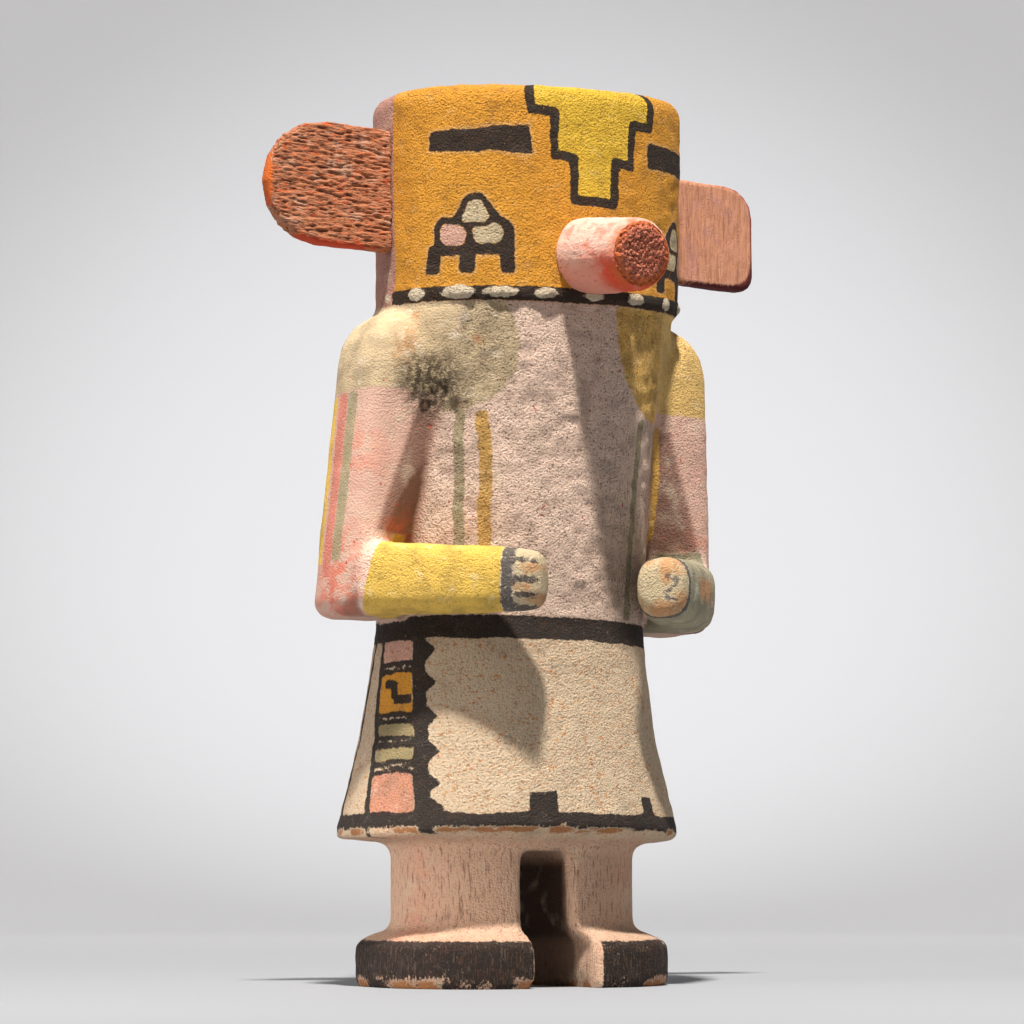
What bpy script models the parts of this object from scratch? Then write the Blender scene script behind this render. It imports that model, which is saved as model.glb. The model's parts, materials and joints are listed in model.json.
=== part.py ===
"""Carved kachina doll: one block of cottonwood root, with two ears and a snout set on its mask.

Metres, +Z up. The doll faces -Y, and its own right hand is towards -X.
The block is one upright loft of rounded sections, from the soles to the crown, with the arms joined to it
and a slot cut between the legs. The ears and the snout are cut to the mask that they sit against.
"""

import math
from collections import namedtuple

import bmesh
import bpy
from mathutils import Matrix, Vector

MM = 0.001

# Heights of the block's stages, from the floor up
FOOT_HEIGHT = 12.0 * MM
LEG_LENGTH = 29.0 * MM
KILT_LENGTH = 57.0 * MM
TORSO_LENGTH = 86.7 * MM
HEAD_HEIGHT = 62.8 * MM

# Half widths, side to side, and half depths, front to back
FOOT_HALF_WIDTH = 42.0 * MM
FOOT_HALF_DEPTH = 32.5 * MM
LEG_HALF_WIDTH = 34.0 * MM
LEG_HALF_DEPTH = 25.0 * MM
HEM_HALF_WIDTH = 48.0 * MM
HEM_HALF_DEPTH = 36.0 * MM
HIP_HALF_WIDTH = 42.0 * MM
HIP_HALF_DEPTH = 32.0 * MM
WAIST_HALF_WIDTH = 37.5 * MM
WAIST_HALF_DEPTH = 28.5 * MM
RIB_HALF_WIDTH = 38.5 * MM
RIB_HALF_DEPTH = 29.5 * MM
CHEST_HALF_WIDTH = 43.5 * MM
CHEST_HALF_DEPTH = 31.0 * MM
CHIN_HALF_WIDTH = 43.6 * MM
CHIN_HALF_DEPTH = 32.0 * MM
CROWN_HALF_WIDTH = 44.6 * MM
CROWN_HALF_DEPTH = 32.8 * MM

# Where the hips, ribs and chest lie, as shares of the kilt's and the torso's length
HIP_SHARE = 0.45
RIB_SHARE = 0.45
CHEST_SHARE = 0.82

# How far the block leans: forward, and aside to the doll's left
HEM_ASIDE = -1.2 * MM
CHEST_FORWARD = 4.0 * MM
CHEST_ASIDE = 1.0 * MM
HEAD_FORWARD = 5.0 * MM
HEAD_ASIDE = 2.3 * MM

# Slopes of the mask's two ends: their rise towards the back, and towards the doll's left
CHIN_PITCH = 0.07
CHIN_ROLL = 0.044
CROWN_PITCH = 0.10
CROWN_ROLL = 0.069

# Squareness of the sections: 2 is an ellipse, and more is nearer a rounded box
FOOT_SQUARENESS = 2.7
BODY_SQUARENESS = 2.3
CHEST_SQUARENESS = 2.05
ARM_SQUARENESS = 3.5
HAND_SQUARENESS = 2.6
ROUND = 2.0

# Edges, fillets and ledges of the block
FOOT_EDGE = 1.2 * MM
FOOT_SLOPE = 2.2 * MM
LEG_FILLET = 3.5 * MM
UNDERSIDE_DROP = 2.2 * MM
HEM_EDGE = 0.7 * MM
HEM_DROOP = 1.8 * MM
NECK_LEDGE = 2.0 * MM
CHIN_EDGE = 0.8 * MM
CROWN_EDGE = 4.5 * MM
CROWN_DOME = 1.5 * MM
CROWN_PEAK_SHARE = 0.25

# The slot between the legs
SLOT_RIGHT_FACE = 10.9 * MM
SLOT_LEFT_FACE = 5.0 * MM
SLOT_LEFT_FLARE = 3.0 * MM
SLOT_ROOF = 5.0 * MM
SLOT_CORNER = 2.5 * MM

# Upper arms: how deep their inner sides sink into the torso, and where they stand
ARM_WIDTH = 23.0 * MM
ARM_DEPTH = 25.0 * MM
ELBOW_FORWARD = 2.5 * MM
SHOULDER_FORWARD = 7.0 * MM
ARM_SINK_SHOULDER = 12.8 * MM
ARM_SINK_ELBOW = 1.0 * MM
RIGHT_SHOULDER_DROP = 3.7 * MM
LEFT_SHOULDER_DROP = 0.2 * MM
SHOULDER_RADIUS = 15.0 * MM
SHOULDER_INSET = 0.3
ELBOW_ABOVE_BELT = -0.5 * MM
ELBOW_EDGE = 4.5 * MM

# The groove carved between arm and torso, which leaves a slanted inner face on the arm
GROOVE_DEPTH = 10.5 * MM
GROOVE_RISE = 3.5 * MM
GROOVE_OUT = 2.0 * MM
GROOVE_SLANT = math.radians(30.0)
GROOVE_WALL_ELBOW = math.radians(78.0)
GROOVE_WALL_SHOULDER = math.radians(58.0)
GROOVE_REACH = 24.0 * MM
GROOVE_BELOW_CHIN = 26.0 * MM

# Forearms and hands, turned in from straight ahead
FOREARM_LENGTH = 45.0 * MM
RIGHT_FOREARM_TURN = math.radians(44.5)
LEFT_FOREARM_TURN = math.radians(41.5)
FOREARM_HEIGHT = 19.0 * MM
FOREARM_WIDTH = 17.0 * MM
FOREARM_ABOVE_BELT = 9.0 * MM
FOREARM_FORWARD = 14.0 * MM
FOREARM_OUT = 0.7 * MM
BUTT_WIDTH = 5.7 * MM
BUTT_HEIGHT = 12.7 * MM
WRIST_SHARE = 0.75
WRIST_HEIGHT = 17.0 * MM
WRIST_WIDTH = 14.8 * MM
HAND_HEIGHT = 16.0 * MM
HAND_WIDTH = 14.0 * MM
HAND_EDGE = 3.5 * MM
HAND_DROP = 1.5 * MM

# Ears: flat paddles that butt against the sides of the mask
RIGHT_EAR_HEIGHT = 34.0 * MM
LEFT_EAR_HEIGHT = 31.0 * MM
EAR_THICKNESS = 5.0 * MM
EAR_RIM = 1.3 * MM
EAR_ABOVE_CHIN = 29.8 * MM
RIGHT_EAR_LENGTH = 37.5 * MM
RIGHT_EAR_TOP_RADIUS = 17.5 * MM
RIGHT_EAR_BOTTOM_RADIUS = 15.5 * MM
LEFT_EAR_LENGTH = 31.0 * MM
LEFT_EAR_TOP_RADIUS = 9.0 * MM
LEFT_EAR_BOTTOM_RADIUS = 4.5 * MM

# Snout: a short peg on the front of the mask
SNOUT_LENGTH = 26.0 * MM
SNOUT_ROOT_RADIUS = 10.2 * MM
SNOUT_TIP_RADIUS = 9.6 * MM
SNOUT_EDGE = 1.2 * MM
SNOUT_ASIDE = 1.5 * MM
SNOUT_ABOVE_CHIN = 10.8 * MM
SNOUT_DROOP = math.radians(9.5)

# A piece set on the mask starts this deep inside it, and is then cut back to leave this gap
SEAT_SINK = 8.0 * MM
SEAT_GAP = 0.3 * MM

# Fineness of the lofts
BLOCK_SIDES = 56
ARM_SIDES = 24
SNOUT_SIDES = 32
ARC_STEPS = 4
SPAN_STEPS = 4
CREASE_ANGLE = math.radians(40.0)
RIM_ANGLE = math.radians(60.0)
CUT_MARGIN = 20.0 * MM

# Heights that follow from the stages
HEM_Z = FOOT_HEIGHT + LEG_LENGTH
BELT_Z = HEM_Z + KILT_LENGTH
CHIN_Z = BELT_Z + TORSO_LENGTH
CROWN_Z = CHIN_Z + HEAD_HEIGHT
ELBOW_Z = BELT_Z + ELBOW_ABOVE_BELT

Section = namedtuple("Section", "z half_width half_depth squareness aside forward droop pitch roll")


def section(
    z, half_width, half_depth, squareness=BODY_SQUARENESS, aside=0.0, forward=0.0, droop=0.0, pitch=0.0, roll=0.0
):
    return Section(z, half_width, half_depth, squareness, aside, forward, droop, pitch, roll)


def grown(base, rise, growth, **changes):
    """A section moved up and grown all round."""
    return base._replace(
        z=base.z + rise,
        half_width=base.half_width + growth,
        half_depth=base.half_depth + growth,
        **changes,
    )


def mixed(low, high, z_share, size_share):
    """A section between two others, with its own shares of their height and of their size."""
    shares = (z_share,) + (size_share,) * (len(low) - 1)
    return Section(*(a + (b - a) * share for a, b, share in zip(low, high, shares)))


def quarter(low, high, upright_first):
    """Sections on a quarter round from one section to another, with the second and without the first."""
    rounded = []
    for step in range(1, ARC_STEPS + 1):
        angle = math.pi / 2 * step / ARC_STEPS
        early, late = math.sin(angle), 1 - math.cos(angle)
        z_share, size_share = (early, late) if upright_first else (late, early)
        rounded.append(mixed(low, high, z_share, size_share))
    return rounded


def smooth_span(stations):
    """Sections on a smooth curve through a few stations, with the last and without the first."""
    padded = [stations[0], *stations, stations[-1]]
    sections = []
    for before, low, high, after in zip(padded, padded[1:], padded[2:], padded[3:]):
        for step in range(1, SPAN_STEPS + 1):
            t = step / SPAN_STEPS
            sections.append(
                Section(
                    *(
                        (2 * t**3 - 3 * t**2 + 1) * b
                        + (t**3 - 2 * t**2 + t) * (c - a) / 2
                        + (3 * t**2 - 2 * t**3) * c
                        + (t**3 - t**2) * (d - b) / 2
                        for a, b, c, d in zip(before, low, high, after)
                    )
                )
            )
    return sections


def ring(s, sides):
    """The points of a section: a superellipse that may slope, and whose two sides may hang down."""
    points = []
    for i in range(sides):
        angle = 2 * math.pi * i / sides
        x = math.copysign(abs(math.cos(angle)) ** (2 / s.squareness), math.cos(angle))
        y = math.copysign(abs(math.sin(angle)) ** (2 / s.squareness), math.sin(angle))
        z = s.z - s.droop * abs(x) ** 3 + s.pitch * s.half_depth * y + s.roll * s.half_width * x
        points.append(Vector((s.aside + s.half_width * x, s.half_depth * y - s.forward, z)))
    return points


def loft(name, rings, material=None):
    """One closed body through rings of equal count, with a flat cap at each end."""
    body = bmesh.new()
    loops = [[body.verts.new(point) for point in points] for points in rings]
    sides = len(loops[0])
    for low, high in zip(loops, loops[1:]):
        for i in range(sides):
            j = (i + 1) % sides
            body.faces.new((low[i], low[j], high[j], high[i]))
    body.faces.new(list(reversed(loops[0])))
    body.faces.new(loops[-1])
    return add_object(name, body, material)


def add_object(name, body, material=None):
    """Puts a bmesh in the scene as a named object, shaded smooth with its sharp edges kept."""
    bmesh.ops.recalc_face_normals(body, faces=body.faces)
    mesh = bpy.data.meshes.new(name)
    body.to_mesh(mesh)
    body.free()
    mesh.shade_smooth()
    mesh.set_sharp_from_angle(angle=CREASE_ANGLE)
    made = bpy.data.objects.new(name, mesh)
    bpy.context.scene.collection.objects.link(made)
    if material is not None:
        mesh.materials.append(material)
    return made


def combine(target, guide, operation):
    """Joins a guide to an object, or cuts it away. The guide itself isn't part of the doll."""
    guide.hide_render = True
    guide.display_type = "WIRE"
    modifier = target.modifiers.new(f"{operation.lower()} {guide.name}", "BOOLEAN")
    modifier.operation = operation
    modifier.solver = "EXACT"
    modifier.object = guide


def paint(name, colour, roughness):
    """A matt painted-wood material."""
    material = bpy.data.materials.new(name)
    material.use_nodes = True
    shader = material.node_tree.nodes["Principled BSDF"]
    shader.inputs["Base Color"].default_value = (*colour, 1.0)
    shader.inputs["Roughness"].default_value = roughness
    shader.inputs["Metallic"].default_value = 0.0
    return material


def torso_station(height_share, half_width, half_depth):
    """A section of the torso, which leans more the higher it is."""
    return section(
        BELT_Z + TORSO_LENGTH * height_share,
        half_width,
        half_depth,
        aside=CHEST_ASIDE * height_share,
        forward=CHEST_FORWARD * height_share,
        pitch=CHIN_PITCH * height_share,
        roll=CHIN_ROLL * height_share,
    )


BELT = torso_station(0.0, WAIST_HALF_WIDTH, WAIST_HALF_DEPTH)._replace(aside=HEM_ASIDE / 2)
RIBS = torso_station(RIB_SHARE, RIB_HALF_WIDTH, RIB_HALF_DEPTH)._replace(squareness=CHEST_SQUARENESS)
CHEST = torso_station(CHEST_SHARE, CHEST_HALF_WIDTH, CHEST_HALF_DEPTH)._replace(squareness=CHEST_SQUARENESS)
NECK = torso_station(1.0, CHEST_HALF_WIDTH, CHEST_HALF_DEPTH)


def foot_and_leg_sections():
    """The low feet with their sloped tops, and the legs with a fillet at each end."""
    foot = section(0.0, FOOT_HALF_WIDTH, FOOT_HALF_DEPTH, FOOT_SQUARENESS)
    leg = section(0.0, LEG_HALF_WIDTH, LEG_HALF_DEPTH)
    instep = grown(leg, FOOT_HEIGHT + FOOT_SLOPE, LEG_FILLET)
    ankle = grown(leg, FOOT_HEIGHT + FOOT_SLOPE + LEG_FILLET, 0.0)
    knee = grown(leg, HEM_Z - UNDERSIDE_DROP - LEG_FILLET, 0.0)
    underside = grown(leg, HEM_Z - UNDERSIDE_DROP, LEG_FILLET)
    return [
        grown(foot, 0.0, -FOOT_EDGE),
        grown(foot, FOOT_EDGE, 0.0),
        grown(foot, FOOT_HEIGHT - FOOT_EDGE, 0.0),
        grown(foot, FOOT_HEIGHT, -FOOT_EDGE),
        instep,
        *quarter(instep, ankle, upright_first=False),
        mixed(ankle, knee, 0.5, 0.5),
        knee,
        *quarter(knee, underside, upright_first=True),
    ]


def kilt_sections():
    """The flared kilt, from its sharp hem up to the belt."""
    hem = section(HEM_Z, HEM_HALF_WIDTH, HEM_HALF_DEPTH, aside=HEM_ASIDE, droop=HEM_DROOP)
    lip = grown(hem, HEM_EDGE, 0.0)
    hip = section(HEM_Z + KILT_LENGTH * HIP_SHARE, HIP_HALF_WIDTH, HIP_HALF_DEPTH, aside=HEM_ASIDE)
    return [grown(hem, 0.0, -HEM_EDGE), lip, *smooth_span([lip, hip, BELT])]


def torso_sections():
    """The torso above the belt, up to the ledge that the mask sits on."""
    ledge = grown(NECK, -NECK_LEDGE, 0.0)
    throat = grown(NECK, 0.0, -NECK_LEDGE)
    return [*smooth_span([BELT, RIBS, CHEST, ledge]), *quarter(ledge, throat, upright_first=True)]


def mask_sections(growth=0.0):
    """The drum-shaped mask with its rounded, slightly domed crown, grown all round by a clearance."""
    chin = section(
        CHIN_Z,
        CHIN_HALF_WIDTH + growth,
        CHIN_HALF_DEPTH + growth,
        aside=HEAD_ASIDE,
        forward=HEAD_FORWARD,
        pitch=CHIN_PITCH,
        roll=CHIN_ROLL,
    )
    brow = chin._replace(
        z=CROWN_Z - CROWN_EDGE - CROWN_DOME,
        half_width=CROWN_HALF_WIDTH + growth,
        half_depth=CROWN_HALF_DEPTH + growth,
        pitch=CROWN_PITCH,
        roll=CROWN_ROLL,
    )
    crown = grown(brow, CROWN_EDGE, -CROWN_EDGE)
    peak = crown._replace(
        z=CROWN_Z,
        half_width=crown.half_width * CROWN_PEAK_SHARE,
        half_depth=crown.half_depth * CROWN_PEAK_SHARE,
    )
    lip = grown(chin, CHIN_EDGE, 0.0)
    return [
        grown(chin, CHIN_EDGE / 4, -CHIN_EDGE),
        lip,
        mixed(lip, brow, 1 / 3, 1 / 3),
        mixed(lip, brow, 2 / 3, 2 / 3),
        brow,
        *quarter(brow, crown, upright_first=True),
        mixed(crown, peak, 0.7, 0.5),
        peak,
    ]


def arm_edges(z):
    """The upper arm's inner and outer sides at a height, measured from the torso's middle line."""
    share = (z - ELBOW_Z) / (CHIN_Z - ELBOW_Z)
    elbow = WAIST_HALF_WIDTH - ARM_SINK_ELBOW
    shoulder = CHEST_HALF_WIDTH - ARM_SINK_SHOULDER
    inner = elbow + (shoulder - elbow) * share
    return inner, inner + ARM_WIDTH


def upper_arm_section(z, side):
    """One section of an upper arm, standing against the torso and leaning with it."""
    inner, outer = arm_edges(z)
    lean = (z - BELT_Z) / TORSO_LENGTH
    return section(
        z,
        (outer - inner) / 2,
        ARM_DEPTH / 2,
        ARM_SQUARENESS,
        aside=side * (inner + outer) / 2 + CHEST_ASIDE * lean,
        forward=ELBOW_FORWARD + (SHOULDER_FORWARD - ELBOW_FORWARD) * lean,
    )


def upper_arm(side, name):
    """An upper arm with a round shoulder and a soft elbow edge."""
    shoulder_z = CHIN_Z - (RIGHT_SHOULDER_DROP if side < 0 else LEFT_SHOULDER_DROP)
    round_z = shoulder_z - SHOULDER_RADIUS
    elbow = upper_arm_section(ELBOW_Z + ELBOW_EDGE, side)
    sole = grown(elbow, -ELBOW_EDGE, -ELBOW_EDGE)
    straight = [
        upper_arm_section(elbow.z + (round_z - elbow.z) * step / SPAN_STEPS, side)
        for step in range(1, SPAN_STEPS + 1)
    ]
    top = straight[-1]
    inset = ARM_WIDTH * SHOULDER_INSET
    shoulder = top._replace(
        z=shoulder_z,
        half_width=top.half_width - inset,
        half_depth=top.half_depth - inset,
        aside=top.aside - side * inset,
    )
    sections = [
        sole,
        *quarter(sole, elbow, upright_first=False),
        *straight,
        *quarter(top, shoulder, upright_first=True),
    ]
    return loft(name, [ring(s, ARM_SIDES) for s in sections])


def arm_groove(side, name):
    """The cutter for the groove between an arm and the torso: deepest at the elbow, gone at the shoulder."""
    elbow = (BELT_Z + FOREARM_ABOVE_BELT, GROOVE_DEPTH, GROOVE_WALL_ELBOW)
    shoulder = (CHIN_Z - GROOVE_BELOW_CHIN, -GROOVE_RISE, GROOVE_WALL_SHOULDER)
    rings = []
    for z, depth, wall_angle in (elbow, shoulder):
        arm = upper_arm_section(z, side)
        x = arm.aside - side * (arm.half_width - GROOVE_OUT)
        bottom = Vector((x, depth - arm.forward - arm.half_depth, z))
        flank = Vector((side * math.cos(GROOVE_SLANT), -math.sin(GROOVE_SLANT), 0.0))
        wall = Vector((-side * math.cos(wall_angle), -math.sin(wall_angle), 0.0))
        rings.append([bottom, bottom + flank * GROOVE_REACH, bottom + wall * GROOVE_REACH])
    return loft(name, rings)


def forearm(side, name):
    """A forearm and its hand: a rounded bar that leaves the elbow, turned in across the body."""
    middle_z = BELT_Z + FOREARM_ABOVE_BELT
    inner, outer = arm_edges(middle_z)
    start = Vector((side * ((inner + outer) / 2 + FOREARM_OUT), -FOREARM_FORWARD, middle_z))
    turn = RIGHT_FOREARM_TURN if side < 0 else LEFT_FOREARM_TURN
    along = Vector((-side * math.sin(turn), -math.cos(turn), -HAND_DROP / FOREARM_LENGTH))
    elbow = section(0.0, FOREARM_WIDTH / 2, FOREARM_HEIGHT / 2, ARM_SQUARENESS)
    wrist = section(FOREARM_LENGTH * WRIST_SHARE, WRIST_WIDTH / 2, WRIST_HEIGHT / 2, ARM_SQUARENESS)
    knuckles = section(FOREARM_LENGTH - HAND_EDGE, HAND_WIDTH / 2, HAND_HEIGHT / 2, HAND_SQUARENESS)
    butt = elbow._replace(z=-FOREARM_WIDTH / 2, half_width=BUTT_WIDTH / 2, half_depth=BUTT_HEIGHT / 2)
    fingertips = grown(knuckles, HAND_EDGE, -HAND_EDGE)
    sections = [
        butt,
        *quarter(butt, elbow, upright_first=False),
        *smooth_span([elbow, wrist, knuckles]),
        *quarter(knuckles, fingertips, upright_first=True),
    ]
    facing = along.to_track_quat("Z", "Y").to_matrix().to_4x4()
    place = Matrix.Translation(start) @ facing
    return loft(name, [[place @ point for point in ring(s, ARM_SIDES)] for s in sections])


def arc_points(centre, radius, start, end):
    """Points on an arc, both ends included, by angle in degrees."""
    points = []
    for step in range(ARC_STEPS + 1):
        angle = math.radians(start + (end - start) * step / ARC_STEPS)
        points.append((centre[0] + radius * math.cos(angle), centre[1] + radius * math.sin(angle)))
    return points


def extruded(name, outline, thickness, material=None):
    """A flat outline in X and Z, made into a plate that is centred on Y 0."""
    body = bmesh.new()
    front = body.faces.new([body.verts.new((x, -thickness / 2, z)) for x, z in outline])
    pushed = bmesh.ops.extrude_face_region(body, geom=[front])
    moved = [item for item in pushed["geom"] if isinstance(item, bmesh.types.BMVert)]
    bmesh.ops.translate(body, verts=moved, vec=(0.0, thickness, 0.0))
    return add_object(name, body, material)


def leg_slot():
    """The cutter for the slot between the legs: its left face flares at the foot, and its roof has soft corners."""
    roof = HEM_Z - SLOT_ROOF
    foot = SLOT_LEFT_FACE + SLOT_LEFT_FLARE
    outline = [
        (-SLOT_RIGHT_FACE, -CUT_MARGIN),
        (foot, -CUT_MARGIN),
        (foot, FOOT_HEIGHT),
        (SLOT_LEFT_FACE + SLOT_LEFT_FLARE / 4, FOOT_HEIGHT + SLOT_LEFT_FLARE),
        (SLOT_LEFT_FACE, FOOT_HEIGHT + 3 * SLOT_LEFT_FLARE),
        *arc_points((SLOT_LEFT_FACE - SLOT_CORNER, roof - SLOT_CORNER), SLOT_CORNER, 0, 90),
        *arc_points((SLOT_CORNER - SLOT_RIGHT_FACE, roof - SLOT_CORNER), SLOT_CORNER, 90, 180),
    ]
    return extruded("leg_slot_cut", outline, 2 * (FOOT_HALF_DEPTH + CUT_MARGIN))


def ear(name, side, length, height, top_radius, bottom_radius, material):
    """A paddle ear on one side of the mask, with rounded outer corners and a softened rim."""
    low, high = -height / 2, height / 2
    outline = [
        (-SEAT_SINK, low),
        *arc_points((length - bottom_radius, low + bottom_radius), bottom_radius, -90, 0),
        *arc_points((length - top_radius, high - top_radius), top_radius, 0, 90),
        (-SEAT_SINK, high),
    ]
    made = extruded(name, [(side * x, z) for x, z in outline], EAR_THICKNESS, material)
    made.location = (
        HEAD_ASIDE + side * (CHIN_HALF_WIDTH + CROWN_HALF_WIDTH) / 2,
        -HEAD_FORWARD,
        CHIN_Z + EAR_ABOVE_CHIN,
    )
    rim = made.modifiers.new("rim", "BEVEL")
    rim.width = EAR_RIM
    rim.segments = 2
    rim.limit_method = "ANGLE"
    rim.angle_limit = RIM_ANGLE
    combine(made, loft(f"mask_cut_{name}", [ring(s, BLOCK_SIDES) for s in mask_sections(SEAT_GAP)]), "DIFFERENCE")
    return made


def snout(material):
    """The peg snout: a slightly tapered round bar that droops a little."""
    root = section(-SEAT_SINK, SNOUT_ROOT_RADIUS, SNOUT_ROOT_RADIUS, ROUND)
    tip = section(SNOUT_LENGTH - SNOUT_EDGE, SNOUT_TIP_RADIUS, SNOUT_TIP_RADIUS, ROUND)
    end = grown(tip, SNOUT_EDGE, -SNOUT_EDGE)
    sections = [root, mixed(root, tip, 0.5, 0.3), tip, *quarter(tip, end, upright_first=True)]
    made = loft("snout", [ring(s, SNOUT_SIDES) for s in sections], material)
    made.location = (HEAD_ASIDE + SNOUT_ASIDE, -HEAD_FORWARD - CHIN_HALF_DEPTH, CHIN_Z + SNOUT_ABOVE_CHIN)
    made.rotation_euler = (math.pi / 2 + SNOUT_DROOP, 0.0, 0.0)
    combine(made, loft("mask_cut_snout", [ring(s, BLOCK_SIDES) for s in mask_sections(SEAT_GAP)]), "DIFFERENCE")
    return made


def figure(material):
    """The carved block: body and mask in one loft, with the arms joined on and the leg slot cut out."""
    sections = [*foot_and_leg_sections(), *kilt_sections(), *torso_sections(), *mask_sections()]
    block = loft("figure", [ring(s, BLOCK_SIDES) for s in sections], material)
    for side, label in ((-1, "right"), (1, "left")):
        combine(block, upper_arm(side, f"{label}_upper_arm_join"), "UNION")
        combine(block, arm_groove(side, f"{label}_arm_groove_cut"), "DIFFERENCE")
        combine(block, forearm(side, f"{label}_forearm_join"), "UNION")
    combine(block, leg_slot(), "DIFFERENCE")
    return block


def centre_on_origin(pieces):
    """Hangs everything on an empty, and moves it until the doll's bounding box is centred over the origin."""
    graph = bpy.context.evaluated_depsgraph_get()
    corners = [
        piece.matrix_world @ Vector(corner)
        for piece in pieces
        for corner in piece.evaluated_get(graph).bound_box
    ]
    doll = bpy.data.objects.new("doll", None)
    for axis in (0, 1):
        reach = [corner[axis] for corner in corners]
        doll.location[axis] = -(min(reach) + max(reach)) / 2
    for made in list(bpy.context.scene.objects):
        made.parent = doll
    bpy.context.scene.collection.objects.link(doll)


def main():
    for old in list(bpy.data.objects):
        bpy.data.objects.remove(old)
    body = figure(paint("white_and_pink_paint", (0.62, 0.47, 0.42), 0.9))
    ear_paint = paint("red_ear_paint", (0.55, 0.24, 0.15), 0.9)
    right_ear = ear(
        "right_ear",
        -1,
        RIGHT_EAR_LENGTH,
        RIGHT_EAR_HEIGHT,
        RIGHT_EAR_TOP_RADIUS,
        RIGHT_EAR_BOTTOM_RADIUS,
        ear_paint,
    )
    left_ear = ear(
        "left_ear",
        1,
        LEFT_EAR_LENGTH,
        LEFT_EAR_HEIGHT,
        LEFT_EAR_TOP_RADIUS,
        LEFT_EAR_BOTTOM_RADIUS,
        ear_paint,
    )
    nose = snout(paint("pink_snout_paint", (0.70, 0.40, 0.34), 0.9))
    centre_on_origin([body, right_ear, left_ear, nose])


main()
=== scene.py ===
"""Looks of a carved kachina doll: worn mineral paint on one block of root wood, two ears and a peg snout.

The block, the ears and the snout are fine copies of the solids that carry carved relief. Paint follows
distances that are worked out on the mesh in millimetres, and shader noise frays its edges and wears it.
Places are millimetres from the doll's upright axis: x to its left, y to its back, z up from the floor.
"""

import itertools
import json
import math
from types import SimpleNamespace

import bpy
import numpy as np
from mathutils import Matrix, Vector


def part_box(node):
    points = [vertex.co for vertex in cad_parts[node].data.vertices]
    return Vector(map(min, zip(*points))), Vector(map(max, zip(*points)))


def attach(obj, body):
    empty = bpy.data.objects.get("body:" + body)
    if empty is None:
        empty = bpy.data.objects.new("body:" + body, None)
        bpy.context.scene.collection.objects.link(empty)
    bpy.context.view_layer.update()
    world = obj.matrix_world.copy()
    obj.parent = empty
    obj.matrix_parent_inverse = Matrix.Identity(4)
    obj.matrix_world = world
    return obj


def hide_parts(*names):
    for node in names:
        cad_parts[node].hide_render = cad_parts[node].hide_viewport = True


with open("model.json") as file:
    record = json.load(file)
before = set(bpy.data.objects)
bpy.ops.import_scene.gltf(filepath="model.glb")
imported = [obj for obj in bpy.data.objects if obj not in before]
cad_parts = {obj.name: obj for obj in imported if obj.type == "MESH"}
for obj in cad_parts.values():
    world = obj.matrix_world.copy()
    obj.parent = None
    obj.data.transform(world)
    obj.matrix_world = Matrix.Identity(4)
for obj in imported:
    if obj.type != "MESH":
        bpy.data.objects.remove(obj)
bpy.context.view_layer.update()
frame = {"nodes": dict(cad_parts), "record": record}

MM = 0.001
IMAGE_WIDTH = 1024

# Camera: the photo was taken from low down, a little to the doll's right
CAMERA_YAW = math.radians(30.0)
CAMERA_PITCH = math.radians(7.753)
CAMERA_DISTANCE = 0.785
CAMERA_HEIGHT = 0.023
FOCAL_PIXELS = 2850.0
SENSOR_WIDTH = 36.0
FORWARD = Vector((math.sin(CAMERA_YAW), math.cos(CAMERA_YAW), 0.0))

# The block's own sizes, which the paint follows. A section has half its width and half its depth, and a
# squareness: 2 is an ellipse. Places round the torso and the kilt are those on one nominal section of each.
CHIN_Z = 184.7
CHIN_PITCH = 0.07
CHIN_ROLL = 0.044
CROWN_Z = 247.5
BELT_Z = 98.0
HEM_Z = 41.0
FOOT_Z = 12.0
ELBOW_Z = 97.5
TORSO_LENGTH = CHIN_Z - BELT_Z
CHEST_ASIDE = 1.0
CHEST_FORWARD = 4.0
MASK_MIDDLE = (2.3, -5.0)
MASK_HALF = (44.1, 32.4)
MASK_SQUARENESS = 2.3
WAIST_HALF = (37.5, 28.5)
CHEST_GROWTH = (6.0, 2.5)
TORSO_NOMINAL = (40.0, 29.5)
TORSO_SQUARENESS = 2.1
KILT_STAGES = (HEM_Z, 66.65, BELT_Z)
KILT_NOMINAL = (42.0, 32.0)
KILT_HALVES = ((48.0, 36.0), KILT_NOMINAL, WAIST_HALF)
KILT_ASIDE = (-1.2, -1.2, -0.6)
KILT_SQUARENESS = 2.3
ARM_INNER_ELBOW = 36.5
ARM_INNER_SHOULDER = 30.7
ARM_FORWARD_ELBOW = 2.5
ARM_FORWARD_SHOULDER = 7.0
ARM_EDGE = 1.0
ARM_BOTTOM = 97.0
FOREARM_START = (48.1, -14.0, 107.0)
FOREARM_TURN = {-1: math.radians(44.5), 1: math.radians(41.5)}
FOREARM_DROP = 1.5 / 45.0
FOREARM_HALF = (12.8, 12.6)
FOREARM_BACK = -4.0
FOREARM_CLEARANCE = 1.6

# Fineness of the copies
BLOCK_VOXEL = 1.05 * MM
EAR_VOXEL = 0.26 * MM
SNOUT_VOXEL = 0.20 * MM
NOISE_CELLS = 32

# How far hand-painted outlines stray, and over what length
WAVER = 0.45
WAVER_SIZE = 6.0

# Seen colours, 0 to 255. First come the pigments of the painted patterns.
OCHRE = (220, 154, 54)
LEMON = (228, 186, 62)
MUSTARD = (247, 197, 99)
GOLD = (214, 166, 80)
YELLOW = (234, 192, 84)
STRAW = (226, 188, 110)
GREEN = (207, 186, 147)
MOSS = (152, 147, 120)
SAGE = (172, 162, 126)
OLIVE = (150, 138, 98)
CREAM = (214, 198, 172)
BEIGE = (200, 182, 148)
PINK = (214, 168, 150)
SALMON = (206, 122, 98)
CORAL = (224, 132, 112)
RUST = (198, 128, 68)
SLATE = (84, 84, 92)
INK = (50, 51, 60)
BLACK = (43, 38, 36)
SOOT = (27, 24, 23)

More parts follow.
